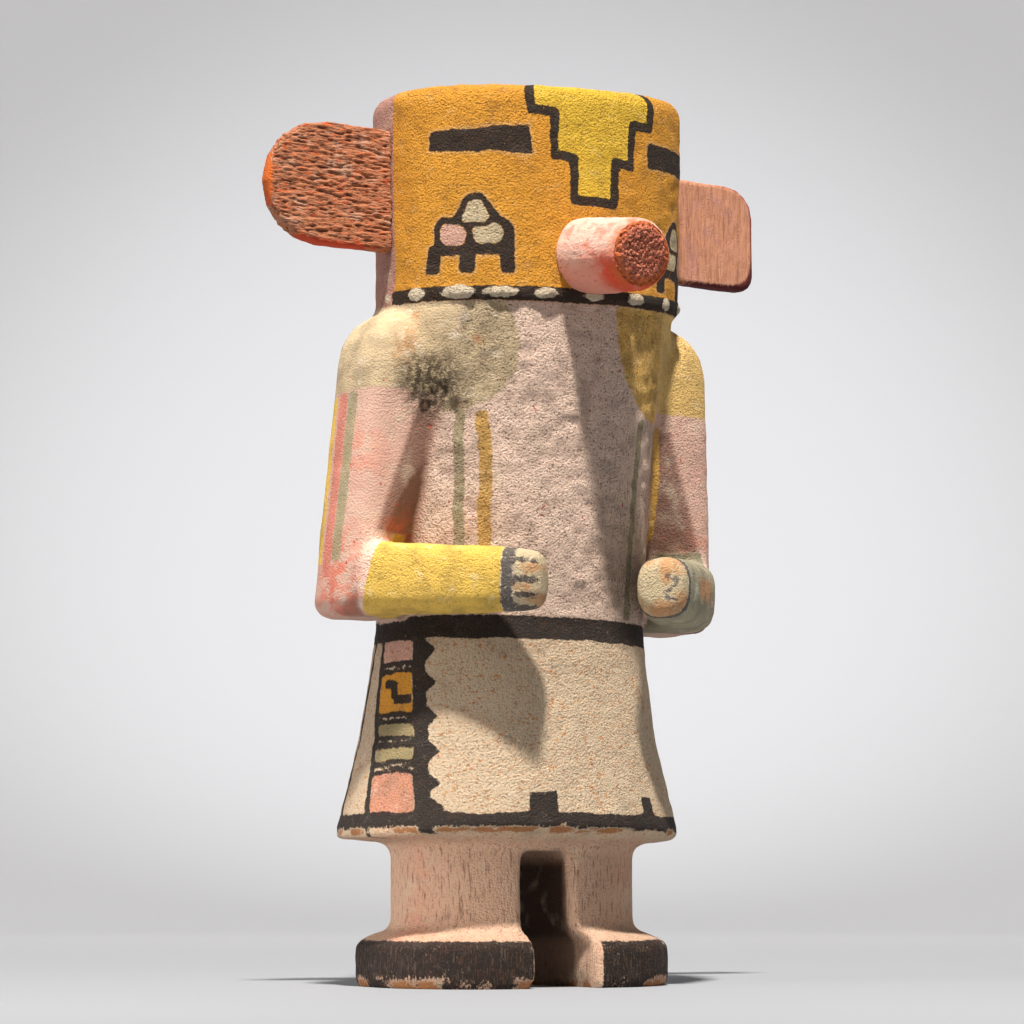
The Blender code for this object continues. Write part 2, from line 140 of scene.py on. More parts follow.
# The thin first coat on each stage of the block, and the brown wood and painted shade laid in with it
MASK_PINK = (192, 142, 128)
TORSO_MAUVE = (244, 213, 193)
ARM_SALMON = (215, 175, 157)
KILT_CREAM = (206, 184, 156)
LEG_PINK = (206, 170, 144)
# Bare brown wood on the inner faces of the arms, darkened as painted shade of the groove
GROOVE_WOOD_AND_SHADE = (144, 110, 96)
# Painted shade deep in the slot between the legs
SLOT_SHADE = (84, 62, 48)

# Wood, stains and specks, and painted shade for hollows, pits and the armpit
BARE_WOOD = (172, 118, 76)
# Dark wood for grain and splits, also used as painted shade in hollows and pits
DARK_WOOD_AND_SHADE = (92, 62, 48)
# Painted shade for the crumbly armpit: its dark cracks, and the shade over it
CREVICE_DARK = (66, 54, 42)
CREVICE_SHADE = (138, 124, 98)
BLUSH = (226, 122, 98)
FLECK_ORANGE = (190, 122, 66)
RED_DOT = (196, 72, 56)

# The peg
SNOUT_PINK = (229, 190, 173)
SNOUT_SALMON = (222, 150, 132)
SNOUT_RED = (214, 82, 54)
TIP_DARK = (136, 60, 44)
TIP_PALE = (220, 142, 112)
TIP_RING = (206, 108, 60)

# The studio
NEAR_FLOOR = (153, 156, 162)
FRONT_FLOOR = (76, 77, 80)
FAR_FLOOR = (186, 188, 193)

# The pigments from the lowest coat to the highest: colour, how opaque it is, how ragged and how soft
# its edge is in millimetres, how much wear it takes to show through it, and how much it is mottled
PIGMENT_LOOKS = {
    "face": (OCHRE, 1.0, 0.9, 0.4, 0.70, 0.3),
    "lemon": (LEMON, 1.0, 0.5, 0.3, 0.70, 0.35),
    "halo": (CREAM, 0.16, 1.2, 0.8, 0.60, 0.0),
    "green": (GREEN, 0.88, 1.6, 1.2, 0.66, 0.9),
    "moss": (MOSS, 0.9, 1.6, 0.9, 0.64, 0.9),
    "sage": (SAGE, 0.85, 0.9, 0.5, 0.64, 0.5),
    "olive": (OLIVE, 0.9, 0.8, 0.4, 0.66, 0.5),
    "mustard": (MUSTARD, 0.92, 1.5, 1.0, 0.66, 0.8),
    "gold": (GOLD, 0.9, 1.2, 0.6, 0.60, 0.5),
    "yellow": (YELLOW, 0.95, 0.9, 0.4, 0.68, 0.8),
    "straw": (STRAW, 0.9, 1.5, 0.9, 0.62, 0.6),
    "red": (CORAL, 0.8, 1.8, 1.0, 0.62, 0.6),
    "beige": (BEIGE, 1.0, 0.6, 0.3, 0.72, 0.3),
    "pink": (PINK, 1.0, 0.6, 0.3, 0.72, 0.3),
    "salmon": (SALMON, 0.7, 0.8, 0.4, 0.62, 1.0),
    "rust": (RUST, 0.62, 3.4, 1.8, 0.54, 0.9),
    "slate": (SLATE, 0.75, 1.6, 0.5, 0.58, 0.3),
    "ink": (INK, 0.86, 1.9, 0.6, 0.56, 0.5),
    "soot": (SOOT, 0.98, 1.2, 0.4, 0.63, 0.15),
    "black": (BLACK, 0.98, 0.95, 0.35, 0.63, 0.15),
    "beads": (CREAM, 1.0, 1.0, 0.3, 0.74, 0.3),
}
FAR_AWAY = 50.0
FIRST_OVER_FLECKS = "slate"
FRAY = 1.3
DEEPER = 0.82
LIGHTER = 0.38


def linear(colour):
    """A seen colour, 0 to 255, as linear light with full alpha."""
    shares = [value / 255 for value in colour]
    return tuple(s / 12.92 if s <= 0.04045 else ((s + 0.055) / 1.055) ** 2.4 for s in shares) + (1.0,)


def ramp(values, low, high):
    """0 below low, 1 above high, smooth between. Runs backwards where low is above high."""
    share = np.clip((values - low) / (high - low), 0.0, 1.0)
    return share * share * (3 - 2 * share)


def noise(points, size, seed, octaves=3, stretch=(1.0, 1.0, 1.0)):
    """Smooth seeded noise, about -1 to 1. Its lumps have a size in millimetres, and can be stretched."""
    table = np.random.default_rng(seed).uniform(-1.0, 1.0, (NOISE_CELLS,) * 3)
    place = points / (size * np.array(stretch))
    total = np.zeros(len(points))
    weight = 1.0
    reach = 0.0
    for _ in range(octaves):
        cell = np.floor(place).astype(int)
        share = place - cell
        share = share * share * (3 - 2 * share)
        for corner in itertools.product((0, 1), repeat=3):
            index = (cell + corner) % NOISE_CELLS
            closeness = np.prod(np.where(corner, share, 1 - share), axis=1)
            total += weight * closeness * table[index[:, 0], index[:, 1], index[:, 2]]
        reach += weight
        weight *= 0.5
        place = place * 2.03 + 11.7
    return total / reach * 1.6


# Shapes: signed distances in millimetres, below 0 inside, at unrolled places (round, up)


def union(*distances):
    return np.minimum.reduce(distances)


def within(*distances):
    return np.maximum.reduce(distances)


def segment(at, start, end):
    """Distance from the straight line between two places, never below 0."""
    s, z = at
    ds, dz = end[0] - start[0], end[1] - start[1]
    along = np.clip(((s - start[0]) * ds + (z - start[1]) * dz) / (ds * ds + dz * dz), 0.0, 1.0)
    return np.hypot(s - start[0] - along * ds, z - start[1] - along * dz)


def polygon(at, corners):
    s, z = at
    inside = np.zeros(len(s), bool)
    sides = list(zip(corners, corners[1:] + corners[:1]))
    for (s0, z0), (s1, z1) in sides:
        if z0 != z1:
            crosses = (z0 > z) != (z1 > z)
            inside ^= crosses & (s < s0 + (z - z0) * (s1 - s0) / (z1 - z0))
    nearest = union(*(segment(at, start, end) for start, end in sides))
    return np.where(inside, -nearest, nearest)


def stroke(at, points, width):
    return union(*(segment(at, start, end) for start, end in zip(points, points[1:]))) - width / 2


def ellipse(at, middle, half):
    s, z = at
    return (np.hypot((s - middle[0]) / half[0], (z - middle[1]) / half[1]) - 1) * min(half)


def rectangle(at, low, high, radius=0.0):
    s, z = at
    over_s = np.abs(s - (low[0] + high[0]) / 2) - (high[0] - low[0]) / 2 + radius
    over_z = np.abs(z - (low[1] + high[1]) / 2) - (high[1] - low[1]) / 2 + radius
    outside = np.hypot(np.maximum(over_s, 0.0), np.maximum(over_z, 0.0))
    return outside + np.minimum(np.maximum(over_s, over_z), 0.0) - radius


def blobs(points, places):
    """Soft round stains, 0 to 1, at places (x, y, z, radius, strength)."""
    total = np.zeros(len(points))
    for x, y, z, radius, strength in places:
        away = np.linalg.norm(points - np.array((x, y, z)), axis=1)
        total = np.maximum(total, strength * np.exp(-((away / radius) ** 2)))
    return total


def round_table(half_width, half_depth, squareness):
    """Distance round a section, from its front, by the direction from its middle."""
    turn = np.linspace(-math.pi, math.pi, 1441)
    reach = (np.abs(np.sin(turn)) ** squareness + np.abs(np.cos(turn)) ** squareness) ** (-1 / squareness)
    x = half_width * np.sin(turn) * reach
    y = half_depth * np.cos(turn) * reach
    along = np.concatenate([[0.0], np.cumsum(np.hypot(np.diff(x), np.diff(y)))])
    return turn, along - np.interp(0.0, turn, along)


class Block:
    """Where each point of the block lies: unrolled places, and distances into its regions."""

    def __init__(self, points):
        self.points = points
        self.x, self.y, self.z = points.T
        self.waver = [WAVER * noise(points, WAVER_SIZE, seed, 2) for seed in (41, 42)]
        self.lean = np.clip((self.z - BELT_Z) / TORSO_LENGTH, 0.0, 1.0)
        chin = CHIN_Z + CHIN_PITCH * (self.y - MASK_MIDDLE[1]) + CHIN_ROLL * (self.x - MASK_MIDDLE[0])
        self.above_chin = self.z - chin
        torso_middle = (CHEST_ASIDE * self.lean, -CHEST_FORWARD * self.lean)
        torso_half = [half + growth * self.lean for half, growth in zip(WAIST_HALF, CHEST_GROWTH)]
        kilt_middle = (np.interp(self.z, KILT_STAGES, KILT_ASIDE), 0.0)
        kilt_half = [np.interp(self.z, KILT_STAGES, halves) for halves in zip(*KILT_HALVES)]
        self.mask_at = self.unroll(MASK_MIDDLE, MASK_HALF, MASK_HALF, MASK_SQUARENESS)
        self.torso_at = self.unroll(torso_middle, torso_half, TORSO_NOMINAL, TORSO_SQUARENESS)
        self.kilt_at = self.unroll(kilt_middle, kilt_half, KILT_NOMINAL, KILT_SQUARENESS)
        self.clear = union(
            self.clearance(torso_middle, torso_half, TORSO_SQUARENESS),
            self.clearance(kilt_middle, kilt_half, KILT_SQUARENESS),
        )
        self.arm = {side: self.arm_depth(side) for side in (-1, 1)}
        self.forearm = {side: self.along_forearm(side) for side in (-1, 1)}

    def unroll(self, middle, half, nominal, squareness):
        """Places round a section and up it, with the waver of a hand-drawn line."""
        turn = np.arctan2((self.x - middle[0]) / half[0], -(self.y - middle[1]) / half[1])
        return np.interp(turn, *round_table(*nominal, squareness)) + self.waver[0], self.z + self.waver[1]

    def clearance(self, middle, half, squareness):
        """How far a point stands clear of an upright section."""
        across = np.abs((self.x - middle[0]) / half[0]) ** squareness
        deep = np.abs((self.y - middle[1]) / half[1]) ** squareness
        return ((across + deep) ** (1 / squareness) - 1) * half[1]

    def arm_depth(self, side):
        """How far a point lies out past the inner side of an upper arm."""
        share = (self.z - ELBOW_Z) / (CHIN_Z - ELBOW_Z)
        inner = ARM_INNER_ELBOW + (ARM_INNER_SHOULDER - ARM_INNER_ELBOW) * share
        return side * (self.x - CHEST_ASIDE * self.lean) - inner

    def along_forearm(self, side):
        """Distance along a forearm, across it, and up it."""
        turn = FOREARM_TURN[side]
        along = np.array((-side * math.sin(turn), -math.cos(turn), -FOREARM_DROP))
        along /= np.linalg.norm(along)
        across = np.array((-side * along[1], side * along[0], 0.0))
        across /= np.linalg.norm(across)
        away = self.points - np.array((side * FOREARM_START[0], FOREARM_START[1], FOREARM_START[2]))
        t = away @ along
        return t, away @ across, away[:, 2] + t * FOREARM_DROP

    def on_forearm(self, side):
        """Distance outside the bar of a forearm, below 0 on it."""
        t, across, up = self.forearm[side]
        bar = within(np.abs(across) - FOREARM_HALF[0], np.abs(up) - FOREARM_HALF[1], FOREARM_BACK - t)
        return within(bar, FOREARM_CLEARANCE - self.clear)

    def arm_bar(self, side):
        return within(ARM_EDGE - self.arm[side], ARM_BOTTOM - self.z)

    def on_arm(self, side):
        return within(self.arm_bar(side), self.above_chin, -self.on_forearm(side))

    def on_torso(self):
        arms = union(self.on_arm(-1), self.on_arm(1), self.on_forearm(-1), self.on_forearm(1))
        return within(-arms, self.above_chin, BELT_Z - self.z)

    def on_kilt(self):
        forearms = union(self.on_forearm(-1), self.on_forearm(1))
        arms = union(self.arm_bar(-1), self.arm_bar(1))
        return within(self.z - BELT_Z, HEM_Z - 3.0 - self.z, -forearms, -arms)


# The mask

CROWN_INSET = 5.5
CLOUD_MIDDLE = 2.2
CLOUD_STEPS = ((19.5, 234.0), (12.4, 222.3), (6.3, 210.6))
CLOUD_OVERLAP = 8.0
LINE_WIDTH = 2.7
RIGHT_EYE = [(-45.3, 222.7), (-44.9, 228.0), (-17.2, 230.0), (-16.8, 221.7)]
LEFT_EYE = [(20.8, 222.8), (20.6, 230.0), (45.0, 231.4), (46.0, 225.0)]
CHEEK_MIDDLE = -32.3
CHEEK_BODY = ((-11.8, 193.8), (10.3, 204.0), 3.4)
CHEEK_DOME = [(-3.4, 202.6), (-0.2, 207.9), (0.6, 207.9), (4.0, 202.6)]
CHEEK_DOME_ROUND = 3.0
CHEEK_TOP_CELL = [(-2.2, 204.0), (-0.3, 207.4), (0.7, 207.4), (2.2, 204.0)]
CHEEK_TOP_CELL_ROUND = 1.5
CHEEK_LOW_CELLS = (((-9.9, 196.6), (-3.0, 202.2), 2.4), ((-1.1, 196.6), (7.6, 202.4), 2.8))
CHEEK_LINE = 1.3
CHEEK_LEGS = ((-11.0, -1.0), (-2.7, 0.0), (8.1, 0.7))
CHEEK_LEG_HALF = 2.1
CHEEK_LEG_HEIGHTS = (188.9, 197.0)
CHEEK_LEG_ROUND = 1.2
CHEEK_SPLAY_TOP = 200.0
CHEEK_SPLAY_DROP = 8.0
HALO_WIDTH = 0.7
FACE_MIDDLE = 1.5
FACE_EDGE = 60.5
CHIN_BAND = 3.9
BEAD_Z = CHIN_BAND / 2 + 0.3
# Middle, width and height of each bead
CHIN_BEADS = (
    (-63.0, 4.4, 2.6),
    (-50.0, 6.2, 3.5),
    (-37.4, 9.4, 3.8),
    (-25.2, 10.4, 3.0),
    (-12.8, 6.8, 2.9),
    (2.0, 6.0, 2.8),
    (17.0, 6.6, 3.2),
    (31.0, 5.4, 3.6),
    (43.0, 5.4, 2.8),
    (55.0, 4.8, 3.0),
)


def cloud_outline():
    """A stepped cloud that hangs from the crown and narrows in three steps."""
    right = []
    top = CROWN_Z + CLOUD_OVERLAP
    for half, bottom in CLOUD_STEPS:
        right += [(CLOUD_MIDDLE + half, top), (CLOUD_MIDDLE + half, bottom)]
        top = bottom
    left = [(2 * CLOUD_MIDDLE - s, z) for s, z in reversed(right)]
    return left[::-1], right


def cloud(at):
    left, right = cloud_outline()
    field = polygon(at, left + right[::-1])
    border = union(stroke(at, left, LINE_WIDTH), stroke(at, right, LINE_WIDTH))
    base = stroke(at, [left[-1], right[-1]], LINE_WIDTH)
    return field, union(border, base)


def cheek(at, mirrored):
    """Three clouds with rain below: the black ground, and the three cells on it."""
    s, z = at
    if mirrored:
        s = 2 * CLOUD_MIDDLE - s
    at = (s - CHEEK_MIDDLE, z)
    ground = union(polygon(at, CHEEK_DOME) - CHEEK_DOME_ROUND, rectangle(at, *CHEEK_BODY))
    bottom, top = CHEEK_LEG_HEIGHTS
    for leg, splay in CHEEK_LEGS:
        splayed = (at[0] - splay * (z - CHEEK_SPLAY_TOP) / -CHEEK_SPLAY_DROP, z)
        low, high = (leg - CHEEK_LEG_HALF, bottom), (leg + CHEEK_LEG_HALF, top)
        ground = union(ground, rectangle(splayed, low, high, CHEEK_LEG_ROUND))
    top_cell = polygon(at, CHEEK_TOP_CELL) - CHEEK_TOP_CELL_ROUND
    low_cells = [within(rectangle(at, *cell), CHEEK_LINE - top_cell) for cell in CHEEK_LOW_CELLS]
    return ground, (top_cell, *low_cells)


def mask_paint(b):
    """Distances of each pigment on the mask."""
    at = b.mask_at
    s, _ = at
    inset = -CROWN_INSET - b.clearance(MASK_MIDDLE, MASK_HALF, MASK_SQUARENESS) - b.waver[0]
    on_mask = within(-b.above_chin, inset)
    past_face = np.abs(s - FACE_MIDDLE) - FACE_EDGE
    field, border = cloud(at)
    band = within(b.above_chin - CHIN_BAND, past_face - 1.0)
    near_ground, near_cells = cheek(at, False)
    far_ground, far_cells = cheek(at, True)
    band_at = (s, b.above_chin)
    beads = [ellipse(band_at, (bead, BEAD_Z), (width / 2, height / 2)) for bead, width, height in CHIN_BEADS]
    eyes = union(polygon(at, RIGHT_EYE), polygon(at, LEFT_EYE))
    return {
        "face": within(past_face, on_mask),
        "lemon": within(field, on_mask),
        "halo": within(union(eyes, near_ground, far_ground) - HALO_WIDTH, on_mask),
        "black": within(union(border, eyes, near_ground, far_ground, band), on_mask),
        "beige": within(union(near_cells[0], near_cells[2], far_cells[0], far_cells[2]), on_mask),
        "pink": within(union(near_cells[1], far_cells[1]), on_mask),
        "beads": within(union(*beads), on_mask - 1.0),
    }


# The torso and arms

RIGHT_LOBE = [
    (-21.0, 190.0),
    (-17.8, 178.0),
    (-15.6, 169.5),
    (-16.6, 163.0),
    (-20.0, 158.4),
    (-25.0, 155.0),
    (-31.0, 152.6),
    (-38.0, 152.4),
    (-70.0, 153.0),
    (-70.0, 190.0),
]
LEFT_LOBE = [
    (11.0, 190.0),
    (11.4, 179.0),
    (12.6, 171.0),
    (16.6, 163.6),
    (21.0, 158.6),
    (27.0, 155.0),
    (34.0, 154.4),
    (44.0, 157.0),
    (70.0, 157.0),
    (70.0, 190.0),
]
SLEEVE_Z = 158.0
GREEN_LINES = (
    [(-31.9, 152.0), (-32.0, 134.0), (-31.4, 100.0)],
    [(25.2, 152.6), (25.2, 134.0), (24.0, 100.0)],
)
GREEN_LINE_WIDTH = 3.0
GOLD_LINE = [(-25.6, 150.9), (-24.6, 140.0), (-25.0, 128.0), (-24.4, 112.0), (-24.8, 100.0)]
GOLD_LINE_WIDTH = 3.7
FAR_LINE = [(36.7, 153.4), (38.3, 114.0)]
FAR_LINE_WIDTH = 1.9
FAR_LINE_Y = -11.0
CHEST_SPOT = (-26.4, 171.2)
CHEST_SPOT_HALF = (0.8, 0.8)
SHOULDER_RUST = (((-42.2, 171.0), (0.7, 3.4)), ((-42.0, 178.6), (1.0, 0.8)), (CHEST_SPOT, (1.4, 1.3)))
# Bands on the outside of the arms: their two edges from front to back, and the height where they end
ARM_STRIPE = (-6.4, -2.0, 112.0)
ARM_RED = (-1.8, 3.2, 108.0)
ARM_YELLOW = (4.6, 9.0, 112.0)
ARM_OUTSIDE = 15.0
ARM_BAND_GAP = 0.6


def torso_paint(b):
    """Distances of each pigment on the torso and the upper arms."""
    at = b.torso_at
    on_torso = b.on_torso()
    sleeve = SLEEVE_Z - b.z
    v = b.y + (ARM_FORWARD_ELBOW + (ARM_FORWARD_SHOULDER - ARM_FORWARD_ELBOW) * b.lean)
    arms = {side: b.on_arm(side) for side in (-1, 1)}

    def arm_band(start, end, foot):
        across = np.abs(v - (start + end) / 2) - (end - start) / 2
        bands = [within(across, arms[side], ARM_OUTSIDE - b.arm[side]) for side in arms]
        return within(union(*bands), ARM_BAND_GAP - sleeve, foot - b.z)

    green_lines = union(*(stroke(at, line, GREEN_LINE_WIDTH) for line in GREEN_LINES))
    far_line = within(stroke((b.x, b.z), FAR_LINE, FAR_LINE_WIDTH), b.y - FAR_LINE_Y, -b.on_forearm(1))
    rust = union(*(ellipse(at, middle, half) for middle, half in SHOULDER_RUST))
    return {
        "green": union(within(polygon(at, RIGHT_LOBE), on_torso), within(sleeve, arms[-1])),
        "sage": union(within(green_lines, on_torso), arm_band(*ARM_STRIPE)),
        "gold": union(within(stroke(at, GOLD_LINE, GOLD_LINE_WIDTH), on_torso), far_line),
        "mustard": within(polygon(at, LEFT_LOBE), on_torso),
        "straw": within(sleeve, arms[1]),
        "yellow": arm_band(*ARM_YELLOW),
        "red": arm_band(*ARM_RED),
        "pink": within(ellipse(at, CHEST_SPOT, CHEST_SPOT_HALF), on_torso),
        "rust": within(rust, -b.on_forearm(-1)),
    }


# The forearms and hands

# Lengths are along the forearm from the elbow, heights up from its middle line
ELBOW_EDGE_T = -1.6
ELBOW_EDGE_UP = -3.0
ELBOW_EDGE_SLANT = 0.22
RIGHT_WRIST = (34.9, 38.2)
LEFT_SLEEVE_T = -2.0
LEFT_WRIST = (39.2, 41.4)
# Height and width of each bar on the right hand, and where the bars start and end
HAND_BARS = ((4.6, 1.2), (-0.4, 1.8), (-4.4, 1.4), (-8.2, 2.8))
HAND_BAR_REACH = (38.0, 43.6)
HAND_BAR_DROP = 0.2
# Rust stains: middle and half sizes
RIGHT_HAND_RUST = (((42.5, 2.6), (2.6, 1.5)), ((40.6, -2.6), (2.4, 1.1)), ((44.6, -5.4), (2.4, 1.8)))
LEFT_HAND_RUST = (
    ((1.2, 4.6), (1.9, 3.8)),
    ((4.6, 6.0), (2.0, 2.6)),
    ((-3.6, 7.0), (1.4, 1.4)),
    ((-5.4, -6.0), (1.8, 1.6)),
    ((0.6, -6.2), (4.2, 2.4)),
    ((5.4, -4.2), (2.0, 3.0)),
)
LEFT_SLEEVE_RUST = ((9.2, 1.0), (3.0, 3.4))
LEFT_SLEEVE_RUST_REACH = (6.0, 26.0)
LEFT_HAND_MARKS = (
    [(1.4, 3.0), (4.6, 1.9)],
    [(1.8, -1.4), (4.2, 0.8)],
    [(0.8, -2.6), (3.4, -3.4)],
)


LEFT_HAND_MARK_WIDTH = 1.1


def forearm_paint(b):
    """Distances of each pigment on the forearms and hands."""
    t, _, up = b.forearm[-1]
    right = b.on_forearm(-1)
    start = ELBOW_EDGE_T + ELBOW_EDGE_SLANT * (up - ELBOW_EDGE_UP)
    sleeve = within(right, start - t, t - RIGHT_WRIST[0])
    wrist = within(right, RIGHT_WRIST[0] - t, t - RIGHT_WRIST[1])
    hand = within(right, RIGHT_WRIST[1] - t)
    first, last = HAND_BAR_REACH
    bars = [
        within(stroke((t, up), [(first, level), (last, level - HAND_BAR_DROP)], width), hand)
        for level, width in HAND_BARS
    ]
    far_t, *face = b.forearm[1]
    left = b.on_forearm(1)
    far_sleeve = within(left, LEFT_SLEEVE_T - far_t, far_t - LEFT_WRIST[0])
    far_wrist = within(left, LEFT_WRIST[0] - far_t, far_t - LEFT_WRIST[1])
    far_hand = within(left, LEFT_WRIST[1] - far_t)
    marks = [within(stroke(face, line, LEFT_HAND_MARK_WIDTH), far_hand) for line in LEFT_HAND_MARKS]
    rust = [within(ellipse(face, middle, half), far_hand) for middle, half in LEFT_HAND_RUST]
    rust += [within(ellipse((t, up), middle, half), hand) for middle, half in RIGHT_HAND_RUST]
    first, last = LEFT_SLEEVE_RUST_REACH
    rust.append(within(ellipse(face, *LEFT_SLEEVE_RUST), left, first - far_t, far_t - last))
    return {
        "yellow": sleeve,
        "moss": far_sleeve,
        "ink": union(wrist, far_wrist, *bars),
        "beige": union(hand, far_hand),
        "rust": union(*rust),
        "slate": union(*marks),
    }


# The kilt, legs and feet

PANEL_SHEAR = 0.165
PANEL_MIDDLE_Z = 68.0
PANEL_BOTTOM = 40.0
PANEL_LEFT = -58.2
PANEL_LINE = 2.0
PANEL_BAR = (-43.4, -39.2)
TOOTH_ROOT = PANEL_BAR[1] - 0.5
TOOTH_TIP = -36.0
TOOTH_LEVELS = (88.6, 80.2, 70.8, 61.7, 53.8, 46.4)
TOOTH_HALF = 3.4
CELL_INSET = 1.0
CELLS = (
    ("pink", 85.6, 92.6),
    ("face", 71.4, 83.6),
    ("olive", 65.0, 69.6),
    ("olive", 58.8, 63.2),
    ("salmon", 44.4, 56.6),
)
CELL_LINE = 1.5
MOTIF = (((-51.0, 74.4), (-44.0, 77.2)), ((-52.4, 76.0), (-49.4, 80.6)), ((-55.0, 79.0), (-51.0, 81.4)))
SIDE_LINE = -69.8
SIDE_LINE_WIDTH = 2.2
SIDE_SHEAR = -0.046
BELT_BAND = 91.9
HEM_BAND = (41.4, 45.6)
TABS = (((-11.6, 42.0), (-4.8, 51.2)), ((21.2, 42.0), (25.4, 50.2)))
TAB_SLIT = ((-9.6, 48.0), (-8.0, 48.4), 0.2)


def kilt_paint(b):
    """Distances of each pigment on the kilt, with the painted panel on the doll's right."""
    s, z = b.kilt_at
    on_kilt = b.on_kilt()
    at = (s + PANEL_SHEAR * (z - PANEL_MIDDLE_Z), z)
    side_at = (s + SIDE_SHEAR * (z - PANEL_MIDDLE_Z), z)
    paint = {pigment: np.full(len(s), FAR_AWAY) for pigment, _, _ in CELLS}
    lines = [
        stroke(at, [(PANEL_LEFT, PANEL_BOTTOM), (PANEL_LEFT, BELT_Z)], PANEL_LINE),
        stroke(side_at, [(SIDE_LINE, PANEL_BOTTOM), (SIDE_LINE, BELT_Z)], SIDE_LINE_WIDTH),
        rectangle(at, (PANEL_BAR[0], PANEL_BOTTOM), (PANEL_BAR[1], BELT_Z)),
    ]
    for level in TOOTH_LEVELS:
        corners = [(TOOTH_ROOT, level - TOOTH_HALF), (TOOTH_TIP, level), (TOOTH_ROOT, level + TOOTH_HALF)]
        lines.append(polygon(at, corners))
    for pigment, bottom, top in CELLS:
        cell = rectangle(at, (PANEL_LEFT + CELL_INSET, bottom), (PANEL_BAR[0], top))
        paint[pigment] = union(paint[pigment], within(cell, on_kilt))
        for level in (bottom, top):
            lines.append(stroke(at, [(PANEL_LEFT, level), (PANEL_BAR[0], level)], CELL_LINE))
    lines += [rectangle(at, *corners) for corners in MOTIF]
    lines += [rectangle((s, z), *corners) for corners in TABS]
    hem = within(z - HEM_BAND[1], HEM_BAND[0] - z)
    slit = rectangle((s, z), *TAB_SLIT)
    paint["black"] = within(union(*lines, hem, BELT_BAND - z), on_kilt, -slit)
    return paint


FOOT_PAINT_RISE = 0.3
FOOT_GAP = (-11.8, 9.3)


def foot_paint(b):
    """Distances of the black on the low feet, which leaves their tops and the slot between them pale."""
    in_gap = within(b.x - FOOT_GAP[1], FOOT_GAP[0] - b.x)
    return {"soot": within(b.z - FOOT_Z - FOOT_PAINT_RISE, -in_gap)}


def all_paint(b):
    """Every pigment's distance over the whole block. Cells on the cheeks lie over the black."""
    far = np.full(len(b.z), FAR_AWAY)
    total = {name: far for name in PIGMENT_LOOKS}
    for part in (mask_paint(b), torso_paint(b), forearm_paint(b), kilt_paint(b), foot_paint(b)):
        for name, distance in part.items():
            total[name] = np.minimum(total[name], distance)
    on_mask = b.above_chin > 0
    cells = np.minimum(total["beige"], total["pink"])
    total["black"] = np.where(on_mask, np.maximum(total["black"], -cells), total["black"])
    return total


FIRST_COAT_BOTTOM = HEM_Z - 2.0
# Where the inner faces of the arms get their brown wood and painted shade
GROOVE_TOP = 153.0
GROOVE_WIDTH = 7.4
GROOVE_TAPER = 0.26
GROOVE_EDGE = 1.6
GROOVE_Y = -6.0
ELBOW_PAINT_END = 24.0
# Where the painted shade lies deep in the slot between the legs
SLOT_MIDDLE = -1.0
SLOT_HALF = 9.2
SLOT_Y = -19.0
SLOT_TOP = 33.5


def ground_colour(b):
    """The thin first coat under the paint: its hue changes from stage to stage of the block. With it lies
    painted shade: brown on the inner faces of the arms, and dark deep in the slot between the legs.
    """
    colour = np.tile(np.array(linear(LEG_PINK)), (len(b.z), 1))

    def lay(seen, distance, soft=1.2):
        share = ramp(-distance, -soft, soft)[:, None]
        colour[:] = colour * (1 - share) + np.array(linear(seen)) * share

    lay(KILT_CREAM, within(b.z - BELT_Z, FIRST_COAT_BOTTOM - b.z))
    lay(TORSO_MAUVE, within(BELT_Z - b.z, b.above_chin))
    for side in (-1, 1):
        lay(ARM_SALMON, b.on_arm(side))
        # The inner faces of the arms, low down and in front: brown wood, darkened as painted shade
        flank = b.arm[side] - (GROOVE_WIDTH + GROOVE_TAPER * (GROOVE_TOP - b.z))
        sides = within(flank, GROOVE_EDGE - b.arm[side], b.y - GROOVE_Y)
        lay(GROOVE_WOOD_AND_SHADE, within(sides, b.z - GROOVE_TOP, b.on_arm(side)), 1.0)
        lay(CREAM, within(b.on_forearm(side), ELBOW_PAINT_END - b.forearm[side][0]))
    # Painted shade on the walls deep inside the slot between the legs
    lay(SLOT_SHADE, within(np.abs(b.x - SLOT_MIDDLE) - SLOT_HALF, SLOT_Y - b.y, b.z - SLOT_TOP), 2.0)
    lay(MASK_PINK, -b.above_chin)
    return colour


# Redder blotches under the paint: x, y, z, radius and strength
BLUSHES = (
    (-44.0, -13.0, 118.0, 6.0, 0.9),
    (-55.0, -12.0, 140.0, 8.0, 0.55),
    (-57.0, -8.0, 112.0, 10.0, 0.9),
    (-60.0, -6.0, 103.0, 8.0, 1.0),
    (-56.0, -14.0, 104.0, 6.0, 0.7),
    (-50.0, -20.0, 101.0, 4.0, 0.5),
    (-36.0, -24.0, 112.0, 8.0, 0.45),
    (-30.0, -26.0, 122.0, 6.0, 0.3),
    (52.0, -10.0, 142.0, 6.0, 0.4),
    (52.0, -14.0, 122.0, 6.0, 0.35),
    (-42.0, -12.0, 31.0, 8.0, 0.8),
    (-42.0, -10.0, 20.0, 8.0, 1.0),
    (-34.0, -24.0, 16.0, 6.0, 0.5),
    (24.0, -22.0, 30.0, 6.0, 0.2),
)


# Meshes


def read(items, key, width=3, kind=float):
    """One property of all vertices or edges, a row for each."""
    flat = np.empty(len(items) * width, kind)
    items.foreach_get(key, flat)
    return flat.reshape(-1, width)


def read_points(mesh):
    return read(mesh.vertices, "co")


def read_normals(mesh):
    return read(mesh.vertex_normals, "vector")


def read_edges(mesh):
    return read(mesh.edges, "vertices", 2, int)


def write_points(mesh, points):
    mesh.vertices.foreach_set("co", points.reshape(-1))
    mesh.update()


